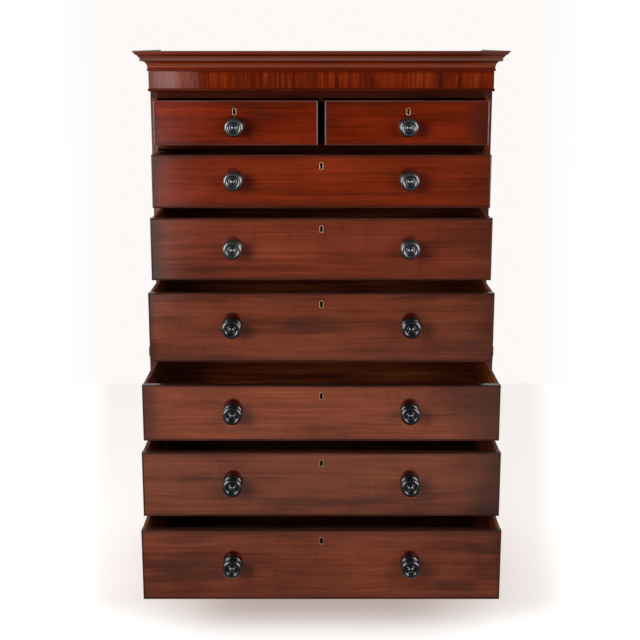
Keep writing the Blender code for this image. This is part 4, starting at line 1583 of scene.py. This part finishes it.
@dataclass
class UpperCarcase:
    """Sides, boards, partition, dustboards and back of the upper chest."""

    housing: float = 0.006
    stop_height: float = 0.005
    board_thickness: float = 0.020
    rail_thickness: float = 0.022
    shade_drop: float = 0.0157
    sides: list[bpy.types.Object] = field(default_factory=list)
    boards: list[tuple[bpy.types.Object, str]] = field(default_factory=list)
    partition: Optional[bpy.types.Object] = None
    dustboards: list[Dustboard] = field(default_factory=list)
    back: Optional[BackBoards] = None

    def build(self) -> "UpperCarcase":
        """Plane every board of the upper chest.

        Returns:
            The carcase.
        """
        self.sides = carcase_sides("upper")
        inset = Vector((self.housing + JOINT_GAP, 0.0, 0.0))
        low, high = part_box("upper_top_board")
        self.boards.append((Bench.block("upper_top", low + inset, high - inset), "upper_top_board"))
        low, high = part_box("upper_bottom_board")
        floor = high.z - self.stop_height
        board_low = (low.x + inset.x, low.y + self.rail_thickness, floor - self.board_thickness)
        board = Bench.block("upper_bottom", board_low, (high.x - inset.x, high.y, floor))
        rail_high = (high.x - inset.x, low.y + self.rail_thickness - JOINT_GAP, floor)
        rail = Bench.block("upper_bottom_rail", low + inset, rail_high)
        self.boards += [(board, "upper_bottom_board"), (rail, "upper_bottom_board")]
        self.partition = Bench.block("short_partition", *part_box("short_drawer_partition"))
        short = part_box("short_right_front")
        middle = (short[0].x + short[1].x) / 2
        first = Dustboard("upper_dustboard_1", middles=(-middle, middle), width=short[1].x - short[0].x)
        self.dustboards = [first, Dustboard("upper_dustboard_2"), Dustboard("upper_dustboard_3")]
        for dustboard in self.dustboards:
            dustboard.build()
        self.back = BackBoards("upper_back_panel").build()
        return self

    def dress(self) -> None:
        """Polish what shows and leave the back bare."""
        # painted shadow under the frieze on the sides' front edges
        shaded_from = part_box("upper_right_side")[1].z - self.shade_drop
        wood = replace(MAHOGANY, name="side_mahogany", shaded_from=shaded_from)
        for hand, side in zip(Hand, self.sides):
            dress_wood(side, wood, Grain.UPRIGHT, CARCASE, f"upper_{hand.name.lower()}_side")
        for board, node in self.boards:
            dress_wood(board, SHADED_MAHOGANY, Grain.ACROSS, CARCASE, node)
        dress_wood(self.partition, SHADED_MAHOGANY, Grain.UPRIGHT, CARCASE, "short_drawer_partition")
        for dustboard in self.dustboards:
            dustboard.dress()
        self.back.dress()


@dataclass
class BracketFoot:
    """One corner foot: two sawn brackets mitred together and a glue block behind them."""

    node: str
    side: Hand
    end: int
    thickness: float = 0.022
    sole: float = 0.075
    band: float = 0.030
    block: float = 0.045
    arris: float = 0.0007
    block_arris: float = 0.002
    brackets: list[tuple[bpy.types.Object, Grain]] = field(default_factory=list)
    glue_block: Optional[bpy.types.Object] = None

    def outline(self, length: float, height: float) -> list[Flat]:
        """A bracket's outline, measured inwards from the corner.

        Args:
            length: how far the bracket runs.
            height: how high the foot is.

        Returns:
            The outline.
        """
        curve = arc((length, 0.0), length - self.sole, height - self.band, 180, 92, 20)
        return [(0.0, 0.0), *curve, (length, height - self.band), (length, height), (0.0, height)]

    def build(self) -> "BracketFoot":
        """Saw the two brackets and the block.

        Returns:
            The foot.
        """
        low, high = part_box(self.node)
        side = self.side.value
        corner = Vector((high.x if side > 0 else low.x, high.y if self.end > 0 else low.y, 0.0))
        outline = self.outline(high.x - low.x, high.z - low.z)

        def bracket(name: str, along: Vector, inward: Vector) -> bpy.types.Object:
            """A bracket along one face, mitred at the corner.

            Args:
                name: its name.
                along: the way that it runs from the corner.
                inward: the way that its thickness goes.

            Returns:
                The bracket.
            """
            outer = [corner + along * (run or JOINT_GAP) + Vector((0, 0, up)) for run, up in outline]
            mitre = self.thickness + JOINT_GAP
            heel = corner + inward * self.thickness
            inner = [heel + along * (run or mitre) + Vector((0, 0, up)) for run, up in outline]
            return Bench.ease(Bench.loft(name, outer, inner), self.arris)

        across = Vector((-side, 0.0, 0.0))
        deep = Vector((0.0, -self.end, 0.0))
        self.brackets = [
            (bracket(f"{self.node}_face", across, deep), Grain.ACROSS),
            (bracket(f"{self.node}_return", deep, across), Grain.DEEP),
        ]
        inset = (across + deep) * (self.thickness + JOINT_GAP)
        ends = (corner + inset, corner + inset + (across + deep) * self.block)
        block_low = (min(point.x for point in ends), min(point.y for point in ends), low.z)
        block_high = (max(point.x for point in ends), max(point.y for point in ends), high.z)
        self.glue_block = Bench.block(f"{self.node}_block", block_low, block_high, self.block_arris)
        return self

    def dress(self) -> None:
        """Polish the brackets and leave the block bare."""
        for piece, grain in self.brackets:
            dress_wood(piece, MAHOGANY, grain, CARCASE, self.node)
        dress_wood(self.glue_block, BACKING_WOOD, Grain.UPRIGHT, CARCASE)


@dataclass
class LowerCarcase:
    """Sides, boards, waist and base mouldings, dustboards, back and feet of the lower chest."""

    step: float = 0.0235
    waist_round: float = 0.010
    waist_proud: float = 0.002
    board_thickness: float = 0.020
    base_reach: float = 0.016
    base_face: float = 0.014
    base_height: float = 0.034
    base_footing: float = 0.040
    stop_height: float = 0.005
    arris: float = 0.0006
    sides: list[bpy.types.Object] = field(default_factory=list)
    waist: Optional[MitredRun] = None
    base: Optional[MitredRun] = None
    boards: list[tuple[bpy.types.Object, str]] = field(default_factory=list)
    dustboards: list[Dustboard] = field(default_factory=list)
    back: Optional[BackBoards] = None
    feet: list[BracketFoot] = field(default_factory=list)

    def build(self) -> "LowerCarcase":
        """Plane the boards, run the mouldings and saw the feet.

        Returns:
            The carcase.
        """
        self.sides = carcase_sides("lower")
        side_low, side_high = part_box("lower_right_side")
        half, front = side_high.x, side_low.y

        low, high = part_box("lower_top_board")
        inner = -self.step + JOINT_GAP
        shoulder = (self.waist_proud - self.waist_round, high.z - self.waist_round)
        edge = arc(shoulder, self.waist_round, self.waist_round, 0, 90, 12)
        section = [(inner, low.z), (self.waist_proud, low.z), *edge, (inner, high.z)]
        self.waist = MitredRun("waist_moulding", eased(section, self.arris), half, front, high.y).build()
        board_low = (-half + self.step, front + self.step, low.z)
        board_high = (half - self.step, high.y, low.z + self.board_thickness)
        self.boards.append((Bench.block("lower_top", board_low, board_high), "lower_top_board"))

        low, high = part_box("lower_bottom_board")
        top = high.z - self.stop_height
        foot = top - self.base_height
        neck = self.base_reach / 4
        rise = ogee((self.base_reach - neck / 2, foot + self.base_face), (neck, top), 16)
        face = [(self.base_reach, foot), (self.base_reach, foot + self.base_face)]
        section = [(-self.base_footing, foot), *face, *rise, (-self.base_footing, top)]
        self.base = MitredRun("base_moulding", eased(section, self.arris), half, front, high.y).build()
        board_low = (-half + self.base_footing, front + self.base_footing, top - self.board_thickness)
        board_high = (half - self.base_footing, high.y, top)
        self.boards.append((Bench.block("lower_bottom", board_low, board_high), "lower_bottom_board"))

        self.dustboards = [Dustboard(f"lower_dustboard_{number}").build() for number in (1, 2)]
        self.back = BackBoards("lower_back_panel").build()
        for hand in Hand:
            for place, end in (("front", -1), ("back", 1)):
                self.feet.append(BracketFoot(f"{place}_{hand.name.lower()}_foot", hand, end).build())
        return self

    def dress(self) -> None:
        """Polish what shows and leave the rest bare."""
        for hand, side in zip(Hand, self.sides):
            dress_wood(side, MAHOGANY, Grain.UPRIGHT, CARCASE, f"lower_{hand.name.lower()}_side")
        self.waist.dress(MAHOGANY, "lower_top_board")
        self.base.dress(MAHOGANY, "lower_bottom_board")
        for board, node in self.boards:
            dress_wood(board, BACKING_WOOD, Grain.ACROSS, CARCASE, node)
        for dustboard in self.dustboards:
            dustboard.dress()
        self.back.dress()
        for foot in self.feet:
            foot.dress()


# Drawers


@dataclass
class TurnedKnob:
    """The pattern of the knobs: boss and dish, ringed rim, waisted neck and moulded rose."""

    radius: float = 0.0282
    rose: float = 0.0272
    projection: float = 0.048
    steps: int = 64
    pattern: Optional[bpy.types.Object] = None

    def profile(self) -> list[Flat]:
        """The knob's section as (radius, reach), from the boss to the seat of the rose.

        Returns:
            The points, drawn in millimetres for a knob that stands 48 mm proud, and scaled to this one.
        """
        mm = self.projection / 48.0
        crest = self.radius / mm - 7.1
        points = arc((0.0, 37.2), 10.8, 10.8, 90, 38, 12)
        points += [(8.9, 42.9), (9.4, 42.4)]
        points += arc((11.5, 41.9), 1.9, 1.5, 165, 15, 8)
        points += [(13.6, 41.2), (14.2, 40.7)]
        points += arc((crest, 37.4), 7.1, 7.4, 152, -58, 34)
        points += [(24.5, 30.6), (24.2, 30.1)]
        points += sweep((23.8, 29.4), (21.8, 27.8), (21.6, 20.5), 8)
        points += sweep((21.6, 17.5), (21.6, 11.2), (22.4, 10.2), 8)
        points += arc((23.0, 4.8), self.rose / mm - 23.0, 5.3, 92, 0, 14)
        points += [(self.rose / mm, 1.0), (self.rose / mm - 0.4, 0.4), (0.0, 0.4)]
        return [(across * mm, reach * mm) for across, reach in points]

    def build(self) -> "TurnedKnob":
        """Turn the pattern at the origin, facing -Y."""
        self.pattern = Bench.turn("knob_pattern", self.profile(), self.steps)
        return self

    def fit(self, node: str) -> bpy.types.Object:
        """A knob in the place of a solid one.

        Args:
            node: the solid knob.

        Returns:
            The knob.
        """
        low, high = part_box(node)
        seat = Vector(((low.x + high.x) / 2, low.y + self.projection, (low.z + high.z) / 2))
        return Bench.copy(self.pattern, f"{node}_turned", seat)

    def put_away(self) -> None:
        """Remove the pattern when every knob is fitted."""
        bpy.data.objects.remove(self.pattern)


@dataclass
class Drawer:
    """One drawer: cockbeaded front, lapped dovetails, linings, back, bottom, lock and knobs."""

    name: str
    knobs: tuple[str, ...]
    smudges: tuple[Smudge, ...] = ()
    look: Mapping[str, Any] = field(default_factory=dict)
    brass: WornBrass = RUBBED_BRASS
    bead: Wood = BEAD_MAHOGANY
    # the lift and depth of the painted shadow round each knob
    knob_shadow_lift_depth: Flat = (0.006, 0.60)
    polish: Ebonised = RUBBED_BLACK
    back: Wood = LINING_WOOD
    bead_width: float = 0.004
    bead_proud: float = 0.002
    bead_depth: float = 0.008
    lining: float = 0.010
    lining_drop: float = 0.004
    back_thickness: float = 0.010
    back_drop: float = 0.008
    back_inset: float = 0.004
    bottom_thickness: float = 0.007
    bottom_rise: float = 0.008
    board_reach: float = 0.40
    lap: float = 0.006
    pitch: float = 0.038
    flare: float = 0.0027
    pin: float = 0.004
    keyhole_drop: float = 0.028
    keyhole_radius: float = 0.0049
    keyhole_slot: float = 0.0084
    keyhole_length: float = 0.0145
    heel_share: float = 0.45
    rim: float = 0.0013
    rim_proud: float = 0.0006
    lock_depth: float = 0.010
    lock_wall: float = 0.002
    front_arris: float = 0.00025
    lining_arris: float = 0.0005
    rim_arris: float = 0.0003
    lock_arris: float = 0.0004
    # the size and softness of the painted shadow round each knob
    knob_shadow_width: float = 0.031
    knob_shadow_height: float = 0.036
    knob_shadow_core: float = 0.55
    over: float = 0.004
    pieces: dict[str, bpy.types.Object] = field(default_factory=dict)
    left: float = field(init=False)
    right: float = field(init=False)
    base: float = field(init=False)
    top: float = field(init=False)
    face: float = field(init=False)
    rear: float = field(init=False)
    end: float = field(init=False)
    middle: float = field(init=False)

    @property
    def body(self) -> str:
        """The body that the drawer rides on."""
        return f"{self.name}_drawer"

    def measure(self) -> None:
        """Read the drawer's planes from its solids."""
        low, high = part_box(f"{self.name}_front")
        self.left, self.right = low.x, high.x
        self.base, self.top = low.z, high.z
        self.face, self.rear = low.y + self.bead_proud, high.y
        self.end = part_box(f"{self.name}_box")[1].y
        low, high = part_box(f"{self.name}_lock")
        self.middle = (low.x + high.x) / 2

    def tails(self, gap: float, end: float) -> list[Flat]:
        """A lining's outline in (y, z) with dovetails at its front end.

        Args:
            gap: how far the outline is let out.
            end: where it ends at the back.

        Returns:
            The outline.
        """
        height = self.top - self.base - self.lining_drop
        count = max(2, round(height / self.pitch))
        pitch = height / count
        tip = self.face + self.lap + JOINT_GAP - gap
        outline = [(end, self.base - gap), (self.rear, self.base - gap)]
        for index in range(count):
            middle = self.base + (index + 0.5) * pitch
            tip_half = (pitch - self.pin) / 2 + gap
            root_half = tip_half - self.flare
            outline += [(self.rear, middle - root_half), (tip, middle - tip_half)]
            outline += [(tip, middle + tip_half), (self.rear, middle + root_half)]
        crest = self.base + height + gap
        return outline + [(self.rear, crest), (end, crest)]

    def keyhole(self, margin: float) -> list[Flat]:
        """The keyhole in (x, z), let out by a margin.

        Args:
            margin: how far it is let out.

        Returns:
            The outline: a round over a slot.
        """
        radius = self.keyhole_radius + margin
        slot = self.keyhole_slot / 2 + margin
        up = self.top - self.keyhole_drop
        spread = math.degrees(math.asin(slot / radius))
        crown = arc((self.middle, up), radius, radius, spread - 90, 270 - spread, 24)
        rise = slot * self.heel_share
        heel = arc((self.middle, up - self.keyhole_length - margin + rise), slot, rise, 180, 360, 8)
        return [*crown, *heel]

    def cockbead(self) -> bpy.types.Object:
        """The rounded bead let in round the front, mitred at its corners.

        Returns:
            The bead.
        """
        nose = arc((self.bead_width / 2, 0.0), self.bead_width / 2, self.bead_proud, 180, 0, 10)
        section = [(0.0, -self.bead_depth), *nose, (self.bead_width, -self.bead_depth)]
        rails = ((True, self.base, 1), (True, self.top, -1))
        stiles = ((False, self.left, 1), (False, self.right, -1))
        strips = []
        for along_x, edge, inward in rails + stiles:

            def lay(tip: float, lean: int) -> list[Vector]:
                """The bead's section at one end of a strip, leaning with the mitre.

                Args:
                    tip: where the strip ends.
                    lean: the way that the strip runs from there.

                Returns:
                    The section's points.
                """
                points = []
                for inset, reach in section:
                    place = edge + inward * inset
                    run = tip + lean * (inset + JOINT_GAP)
                    y = self.face - reach
                    points.append(Vector((run, y, place)) if along_x else Vector((place, y, run)))
                return points

            first, last = (self.left, self.right) if along_x else (self.base, self.top)
            strips.append(Bench.loft("cockbead_strip", lay(first, 1), lay(last, -1)))
        return Bench.smooth(Bench.join(f"{self.name}_cockbead", strips), 45.0)

    def front_board(self) -> bpy.types.Object:
        """The front with its sockets, its rebate for the bead, its keyhole and its pocket for the lock.

        Returns:
            The front.
        """
        low = (self.left, self.face, self.base)
        front = Bench.block(f"{self.name}_board", low, (self.right, self.rear, self.top), 0.0)
        wide, gap, over = self.bead_width, JOINT_GAP, self.over
        rebate_low = (self.left - wide, self.face - wide, self.base - wide)
        rebate_high = (self.right + wide, self.face + self.bead_depth + gap, self.top + wide)
        rebate = Bench.block("rebate", rebate_low, rebate_high, 0.0)
        core_low = (self.left + wide + gap, self.face - 2 * wide, self.base + wide + gap)
        core_high = (self.right - wide - gap, self.rear, self.top - wide - gap)
        Bench.cut(rebate, Bench.block("core", core_low, core_high, 0.0))
        outline, seat = self.tails(gap, self.rear + over), self.lining + gap
        sockets = [
            plate("sockets", outline, Grain.ACROSS, self.left - over, self.left + seat),
            plate("sockets", outline, Grain.ACROSS, self.right - seat, self.right + over),
        ]
        mouth = plate("mouth", self.keyhole(self.rim + gap), Grain.DEEP, self.face - over, self.rear + over)
        low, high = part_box(f"{self.name}_lock")
        pocket_low = (low.x - gap, self.rear - self.lock_depth - gap, low.z - gap)
        pocket_high = (high.x + gap, self.rear + over, high.z + over)
        pocket = Bench.block("pocket", pocket_low, pocket_high, 0.0)
        Bench.cut(front, rebate, *sockets, mouth, pocket)
        return Bench.ease(front, self.front_arris, 1)

    def linings(self) -> list[bpy.types.Object]:
        """The two sides, the back and the bottom of the drawer's box.

        Returns:
            The left side, the right side, the back and the bottom.
        """
        outline = self.tails(0.0, self.end)
        sides = []
        for side, start in (("left", self.left), ("right", self.right - self.lining)):
            lining = plate(f"{self.name}_{side}_lining", outline, Grain.ACROSS, start, start + self.lining)
            sides.append(Bench.ease(lining, self.lining_arris))
        inner_left, inner_right = self.left + self.lining + JOINT_GAP, self.right - self.lining - JOINT_GAP
        crest = self.top - self.lining_drop - self.back_drop
        floor = self.base + self.bottom_rise
        rear = self.end - self.back_inset
        back_low = (inner_left, rear - self.back_thickness, floor + self.bottom_thickness + JOINT_GAP)
        back = Bench.block(f"{self.name}_back_lining", back_low, (inner_right, rear, crest))
        count = math.ceil((inner_right - inner_left) / self.board_reach)
        width = (inner_right - inner_left) / count
        boards = []
        for index in range(count):
            start = inner_left + index * width
            board_low = (start, self.rear + JOINT_GAP, floor)
            board_high = (start + width, rear, floor + self.bottom_thickness)
            boards.append(Bench.block("bottom_board", board_low, board_high))
        return [*sides, back, Bench.join(f"{self.name}_bottom", boards)]

    def lock(self) -> list[bpy.types.Object]:
        """The brass escutcheon in the face and the lock case behind it.

        Returns:
            The escutcheon and the case.
        """
        back = self.rear - self.lock_depth
        rim, hole = self.keyhole(self.rim), self.keyhole(0.0)
        near = self.face - self.rim_proud
        liner = plate(f"{self.name}_escutcheon", rim, Grain.DEEP, near, back - JOINT_GAP)
        Bench.cut(liner, plate("keyway", hole, Grain.DEEP, self.face - self.over, back + self.over))
        low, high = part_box(f"{self.name}_lock")
        case = Bench.block(f"{self.name}_lock_case", (low.x, back, low.z), (high.x, self.rear, high.z), 0.0)
        Bench.cut(case, plate("keyway", hole, Grain.DEEP, back - self.over, self.rear - self.lock_wall))
        return [Bench.ease(liner, self.rim_arris), Bench.ease(case, self.lock_arris)]

    def build(self, knob: TurnedKnob) -> "Drawer":
        """Make the drawer.

        Args:
            knob: the pattern of its knobs.

        Returns:
            The drawer.
        """
        self.measure()
        self.pieces["front"] = self.front_board()
        self.pieces["bead"] = self.cockbead()
        for key, piece in zip(("left", "right", "back", "bottom"), self.linings()):
            self.pieces[key] = piece
        self.pieces["escutcheon"], self.pieces["case"] = self.lock()
        for node in self.knobs:
            self.pieces[node] = knob.fit(node)
        return self

    @staticmethod
    def tinted(strength: float, green: float, blue: float) -> dict[str, Colour]:
        """The colours of a front: its reds by their strength, and the green and blue to each red."""
        reds = {key: (red * strength, lift) for key, (red, lift) in FRONT_TONES.items()}
        return {key: (red, red * green * lift, red * blue * lift) for key, (red, lift) in reds.items()}

    def painted_knob_shadow(self, node: str) -> Smudge:
        """The painted shadow round and above a knob.

        Args:
            node: the solid knob.

        Returns:
            The dark patch.
        """
        low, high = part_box(node)
        middle, (lift, depth) = (low + high) / 2, self.knob_shadow_lift_depth
        return Smudge(middle.x, middle.z + lift, self.knob_shadow_width, self.knob_shadow_height, depth, self.knob_shadow_core)

    def dress(self) -> None:
        """Polish the front, and finish the box, brass and knobs."""
        look = {**FRONT_LOOK, **self.look}
        name = f"{self.name}_front_mahogany"
        edges = {"left": self.left, "right": self.right, "base": self.base, "top": self.top}
        smudges = tuple(replace(mark, up=self.base + mark.up) for mark in self.smudges)
        painted_knob_shadows = tuple(self.painted_knob_shadow(node) for node in self.knobs)
        wood = FrontWood(name, **look, **edges, smudges=smudges, painted_knob_shadows=painted_knob_shadows)
        material = wood.material(name, Grain.ACROSS)
        dress(self.pieces["front"], material, wood.slot, self.body, f"{self.name}_front")
        dress_wood(self.pieces["bead"], self.bead, Grain.ACROSS, self.body)
        for key in ("left", "right"):
            dress_wood(self.pieces[key], LINING_WOOD, Grain.DEEP, self.body, f"{self.name}_box")
        dress_wood(self.pieces["back"], self.back, Grain.ACROSS, self.body, f"{self.name}_box")
        dress_wood(self.pieces["bottom"], SHADED_LINING_WOOD, Grain.DEEP, self.body, f"{self.name}_box")
        for key, brass in (("escutcheon", self.brass), ("case", SHADED_LOCK_BRASS)):
            dress(self.pieces[key], SHOP.plain(brass), brass.slot, self.body, f"{self.name}_lock")
        for node in self.knobs:
            dress(self.pieces[node], SHOP.plain(self.polish), self.polish.slot, self.body, node)


def drawers() -> list[Drawer]:
    """The eight drawers from the top of the chest down, with the tone, marks and painted shade of each
    front.

    Returns:
        The drawers, still to be built.
    """
    # Dark patches, at heights above the foot of each front.
    marks = {
        "upper_long_3": (Smudge(-0.01, 0.1127, 0.13, 0.034, 0.42),),
        "lower_long_2": (Smudge(-0.07, 0.0416, 0.15, 0.032, 0.45),),
        "lower_long_3": (
            Smudge(-0.40, 0.0915, 0.13, 0.060, 0.38),
            Smudge(-0.41, 0.1865, 0.11, 0.020, 0.38),
            Smudge(0.40, 0.0475, 0.08, 0.025, 0.35),
        ),
    }
    short_look = Drawer.tinted(1.00, 0.080, 0.009)
    left_look = {**short_look, "shift": -0.55, "right_depth": 0.10, "right_reach": 0.03, "glow_share": 0.45}
    right_look = {**short_look, "shift": 1.10, "left_depth": 0.10, "left_reach": 0.02, "glow_share": 0.40}
    chest = [
        Drawer("short_left", ("short_left_knob",), look=left_look, bead=LEFT_HIGHLIGHT_BEAD),
        Drawer("short_right", ("short_right_knob",), look=right_look, bead=RIGHT_HIGHLIGHT_BEAD),
    ]
    # For each long drawer: grain shift, tint, glow, and the depth and reach of its dark left and right ends;
    # the dark right end is painted shade.
    tones = {
        "upper_long_1": (-0.55, (1.10, 0.108, 0.022), 0.30, (0.75, 0.045), (0.25, 0.18)),
        "upper_long_2": (0.55, (1.00, 0.172, 0.068), 0.22, (0.92, 0.055), (0.38, 0.18)),
        "upper_long_3": (-0.55, (0.92, 0.205, 0.080), 0.16, (0.72, 0.028), (0.55, 0.16)),
        "lower_long_1": (0.0, (1.28, 0.215, 0.080), 0.14, (0.75, 0.080), (0.74, 0.28)),
        "lower_long_2": (0.55, (1.06, 0.230, 0.088), 0.14, (0.30, 0.018), (0.80, 0.19)),
        "lower_long_3": (0.0, (0.98, 0.205, 0.080), 0.14, (0.60, 0.010), (0.55, 0.03)),
    }
    for name, (shift, tint, glow, left, right) in tones.items():
        brass = TARNISHED_BRASS if name.startswith("lower") else RUBBED_BRASS
        ends = dict(zip(("left_depth", "left_reach", "right_depth", "right_reach"), left + right))
        look = {**Drawer.tinted(*tint), **ends, "glow_share": glow, "shift": shift}
        # stronger painted knob shadows on these fronts
        handled = {"knob_shadow_lift_depth": (0.010, 0.95), "polish": BLACK_POLISH}
        if name in ("upper_long_1", "upper_long_2"):
            look |= {"cloudy": 0.70, "dull_share": 0.20}
            handled = {}
        if name in ("lower_long_2", "lower_long_3"):
            # the backs of the two lowest drawers in the shaded lining wood: painted shade in their gaps
            handled["back"] = SHADED_LINING_WOOD
        knobs = (f"{name}_left_knob", f"{name}_right_knob")
        chest.append(Drawer(name, knobs, marks.get(name, ()), look, brass, **handled))
    return chest


# Studio


@dataclass
class Softbox:
    """A soft light, aimed at a point and hidden from the camera."""

    name: str
    place: Vector
    target: Vector
    size: Flat
    power: float
    colour: Colour = (1.0, 1.0, 1.0)
    spread: float = 180.0

    def build(self) -> bpy.types.Object:
        """Hang the light and aim it.

        Returns:
            The light.
        """
        data = bpy.data.lights.new(self.name, "AREA")
        data.shape = "RECTANGLE"
        data.size, data.size_y = self.size
        data.energy = self.power
        data.color = self.colour
        data.spread = math.radians(self.spread)
        light = bpy.data.objects.new(self.name, data)
        light.location = self.place
        light.rotation_euler = (self.target - self.place).to_track_quat("-Z", "Y").to_euler()
        light.visible_camera = False
        bpy.context.scene.collection.objects.link(light)
        return light


@dataclass
class Studio:
    """The pale floor, the soft lights and the camera. A pair of places is where a change starts and ends."""

    lens: float = 68.08
    eye: Place = (-0.004, -3.793, 1.772)
    tilt: float = 12.88
    floor_half: float = 6.0
    floor_front: float = -9.0
    floor_back: float = 2.44
    floor_thickness: float = 0.02
    floor_arris: float = 0.004
    floor_colour: Colour = (0.45, 0.445, 0.44)
    near_glow: Colour = (0.410, 0.332, 0.303)
    under_side: Flat = (0.86, 0.22)
    under_front: Flat = (-0.56, -0.15)
    under_back: Flat = (1.60, 0.20)
    beside_glow: Colour = (0.715, 0.675, 0.650)
    beside_side: Flat = (0.92, 0.70)
    beside_front: Flat = (-0.36, -0.12)
    beside_flare: float = 0.16
    far_glow: Colour = (0.92, 0.92, 0.92)
    ahead: Flat = (-0.46, -0.72)
    dim_glow: Colour = (0.06, 0.06, 0.06)
    mid_glow: Colour = (0.32, 0.32, 0.32)
    mid_near: Flat = (-1.15, -1.75)
    mid_far: Flat = (-4.8, -3.4)
    dim_room: Colour = (0.03, 0.03, 0.032)
    bright_room: Colour = (0.80, 0.80, 0.80)
    room_turn: Flat = (-0.25, 0.55)
    surround: Colour = (0.972, 0.940, 0.918)
    surround_edge: Flat = (0.160, 0.215)
    cool: Colour = (0.97, 0.985, 1.0)
    wash_place: Place = (2.7, -3.0, 2.0)
    wash_target: Place = (0.0, -0.2, 1.25)
    wash_size: Flat = (1.8, 2.2)
    wash_power: float = 44.5
    wash_lead: float = 19.0
    wash_spread: float = 105.0
    panel_place: Place = (2.8, -2.7, 1.85)
    panel_target: Place = (0.0, -1.9, 1.3)
    panel_size: Flat = (3.8, 2.2)
    panel_power: float = 380.0
    card_place: Place = (-1.68, -3.9, 0.78)
    card_target: Place = (-0.9, 0.0, 1.00)
    card_size: Flat = (1.5, 1.15)
    card_power: float = 11.5

    def floor(self) -> None:
        """Lay the floor, with its own glow: shaded under the chest, pale beside it and dim ahead of it."""
        low = (-self.floor_half, self.floor_front, -self.floor_thickness)
        floor = Bench.block("studio_floor", low, (self.floor_half, self.floor_back, 0.0), self.floor_arris)
        material = bpy.data.materials.new("pale_floor")
        recipe = Recipe(material)
        x, y, z = recipe.axes()
        cloud = recipe.noise(recipe.vector(x * 2.0, y * 2.0, z), 4.0)
        darker = tuple(part * 0.985 for part in self.floor_colour)
        paint = recipe.mix(cloud, self.floor_colour, darker)
        ahead = y.rise(*self.ahead)
        beside = (abs(x) - y * self.beside_flare).rise(*self.beside_side) * y.rise(*self.beside_front)
        under = abs(x).rise(*self.under_side) * y.rise(*self.under_front) * y.rise(*self.under_back)
        around = recipe.mix(under, recipe.mix(beside, self.far_glow, self.beside_glow), self.near_glow)
        middle = y.rise(*self.mid_near) * y.rise(*self.mid_far)
        recipe.surface(
            Base_Color=recipe.mix(ahead * 0.55, paint, (0.0, 0.0, 0.0)),
            Roughness=0.75 + (cloud - 0.5) * 0.2,
            Specular_Ior_Level=0.1,
            Emission_Color=recipe.mix(ahead, around, recipe.mix(middle, self.dim_glow, self.mid_glow)),
            Emission_Strength=1.0,
        )
        floor.data.materials.append(material)

    def surroundings(self) -> None:
        """The room: its light is bright behind the chest and dim behind the camera, which sees it pale."""
        world = bpy.data.worlds.new("studio")
        bpy.context.scene.world = world
        recipe = Recipe(world)
        x, y, _ = recipe.parts(Value(recipe, recipe.node("ShaderNodeTexCoord").outputs["Generated"]))
        room = recipe.mix(y.rise(*self.room_turn), self.dim_room, self.bright_room)
        lit = recipe.node("ShaderNodeBackground", None, {0: room, 1: 1.0})
        backdrop = recipe.mix(abs(x).rise(*self.surround_edge), self.surround, (1.0, 1.0, 1.0))
        plain = recipe.node("ShaderNodeBackground", None, {0: backdrop, 1: 1.0})
        seen = Value(recipe, recipe.node("ShaderNodeLightPath").outputs["Is Camera Ray"])
        shades = {0: seen, 1: Value(recipe, lit.outputs[0]), 2: Value(recipe, plain.outputs[0])}
        both = recipe.node("ShaderNodeMixShader", None, shades)
        recipe.node("ShaderNodeOutputWorld", None, {0: Value(recipe, both.outputs[0])})

    def lights(self) -> None:
        """A softbox for the light and a broad panel for the gloss at each side, and a card at the left."""
        for hand in Hand:
            name, side = hand.name.lower(), Vector((hand.value, 1.0, 1.0))
            place, target = side * Vector(self.wash_place), Vector(self.wash_target)
            power = self.wash_power - hand.value * self.wash_lead
            look = (self.wash_size, power, self.cool, self.wash_spread)
            Softbox(f"softbox_{name}", place, target, *look).build().visible_glossy = False
            place, target = side * Vector(self.panel_place), Vector(self.panel_target)
            look = (self.panel_size, self.panel_power, self.cool)
            Softbox(f"panel_{name}", place, target, *look).build().visible_diffuse = False
        place, target = Vector(self.card_place), Vector(self.card_target)
        card = Softbox("left_card", place, target, self.card_size, self.card_power)
        card.build().visible_diffuse = False

    def camera(self) -> None:
        """Set the camera as the photograph was taken."""
        data = bpy.data.cameras.new("camera")
        data.lens = self.lens
        camera = bpy.data.objects.new("camera", data)
        camera.location = self.eye
        camera.rotation_euler = (math.radians(90.0 - self.tilt), 0.0, 0.0)
        bpy.context.scene.collection.objects.link(camera)
        bpy.context.scene.camera = camera

    def build(self) -> None:
        """Set up the whole studio."""
        self.floor()
        self.surroundings()
        self.lights()
        self.camera()
        bpy.context.scene.view_settings.view_transform = "Standard"


def main() -> None:
    """Build and dress the chest, set the studio and note the sizes."""
    logging.basicConfig(level=logging.INFO, format="%(name)s: %(message)s")
    for part in (CorniceUnit(), UpperCarcase(), LowerCarcase()):
        part.build().dress()
    knob = TurnedKnob().build()
    for drawer in drawers():
        drawer.build(knob).dress()
    knob.put_away()
    Studio().build()


if __name__ == "__main__":
    main()
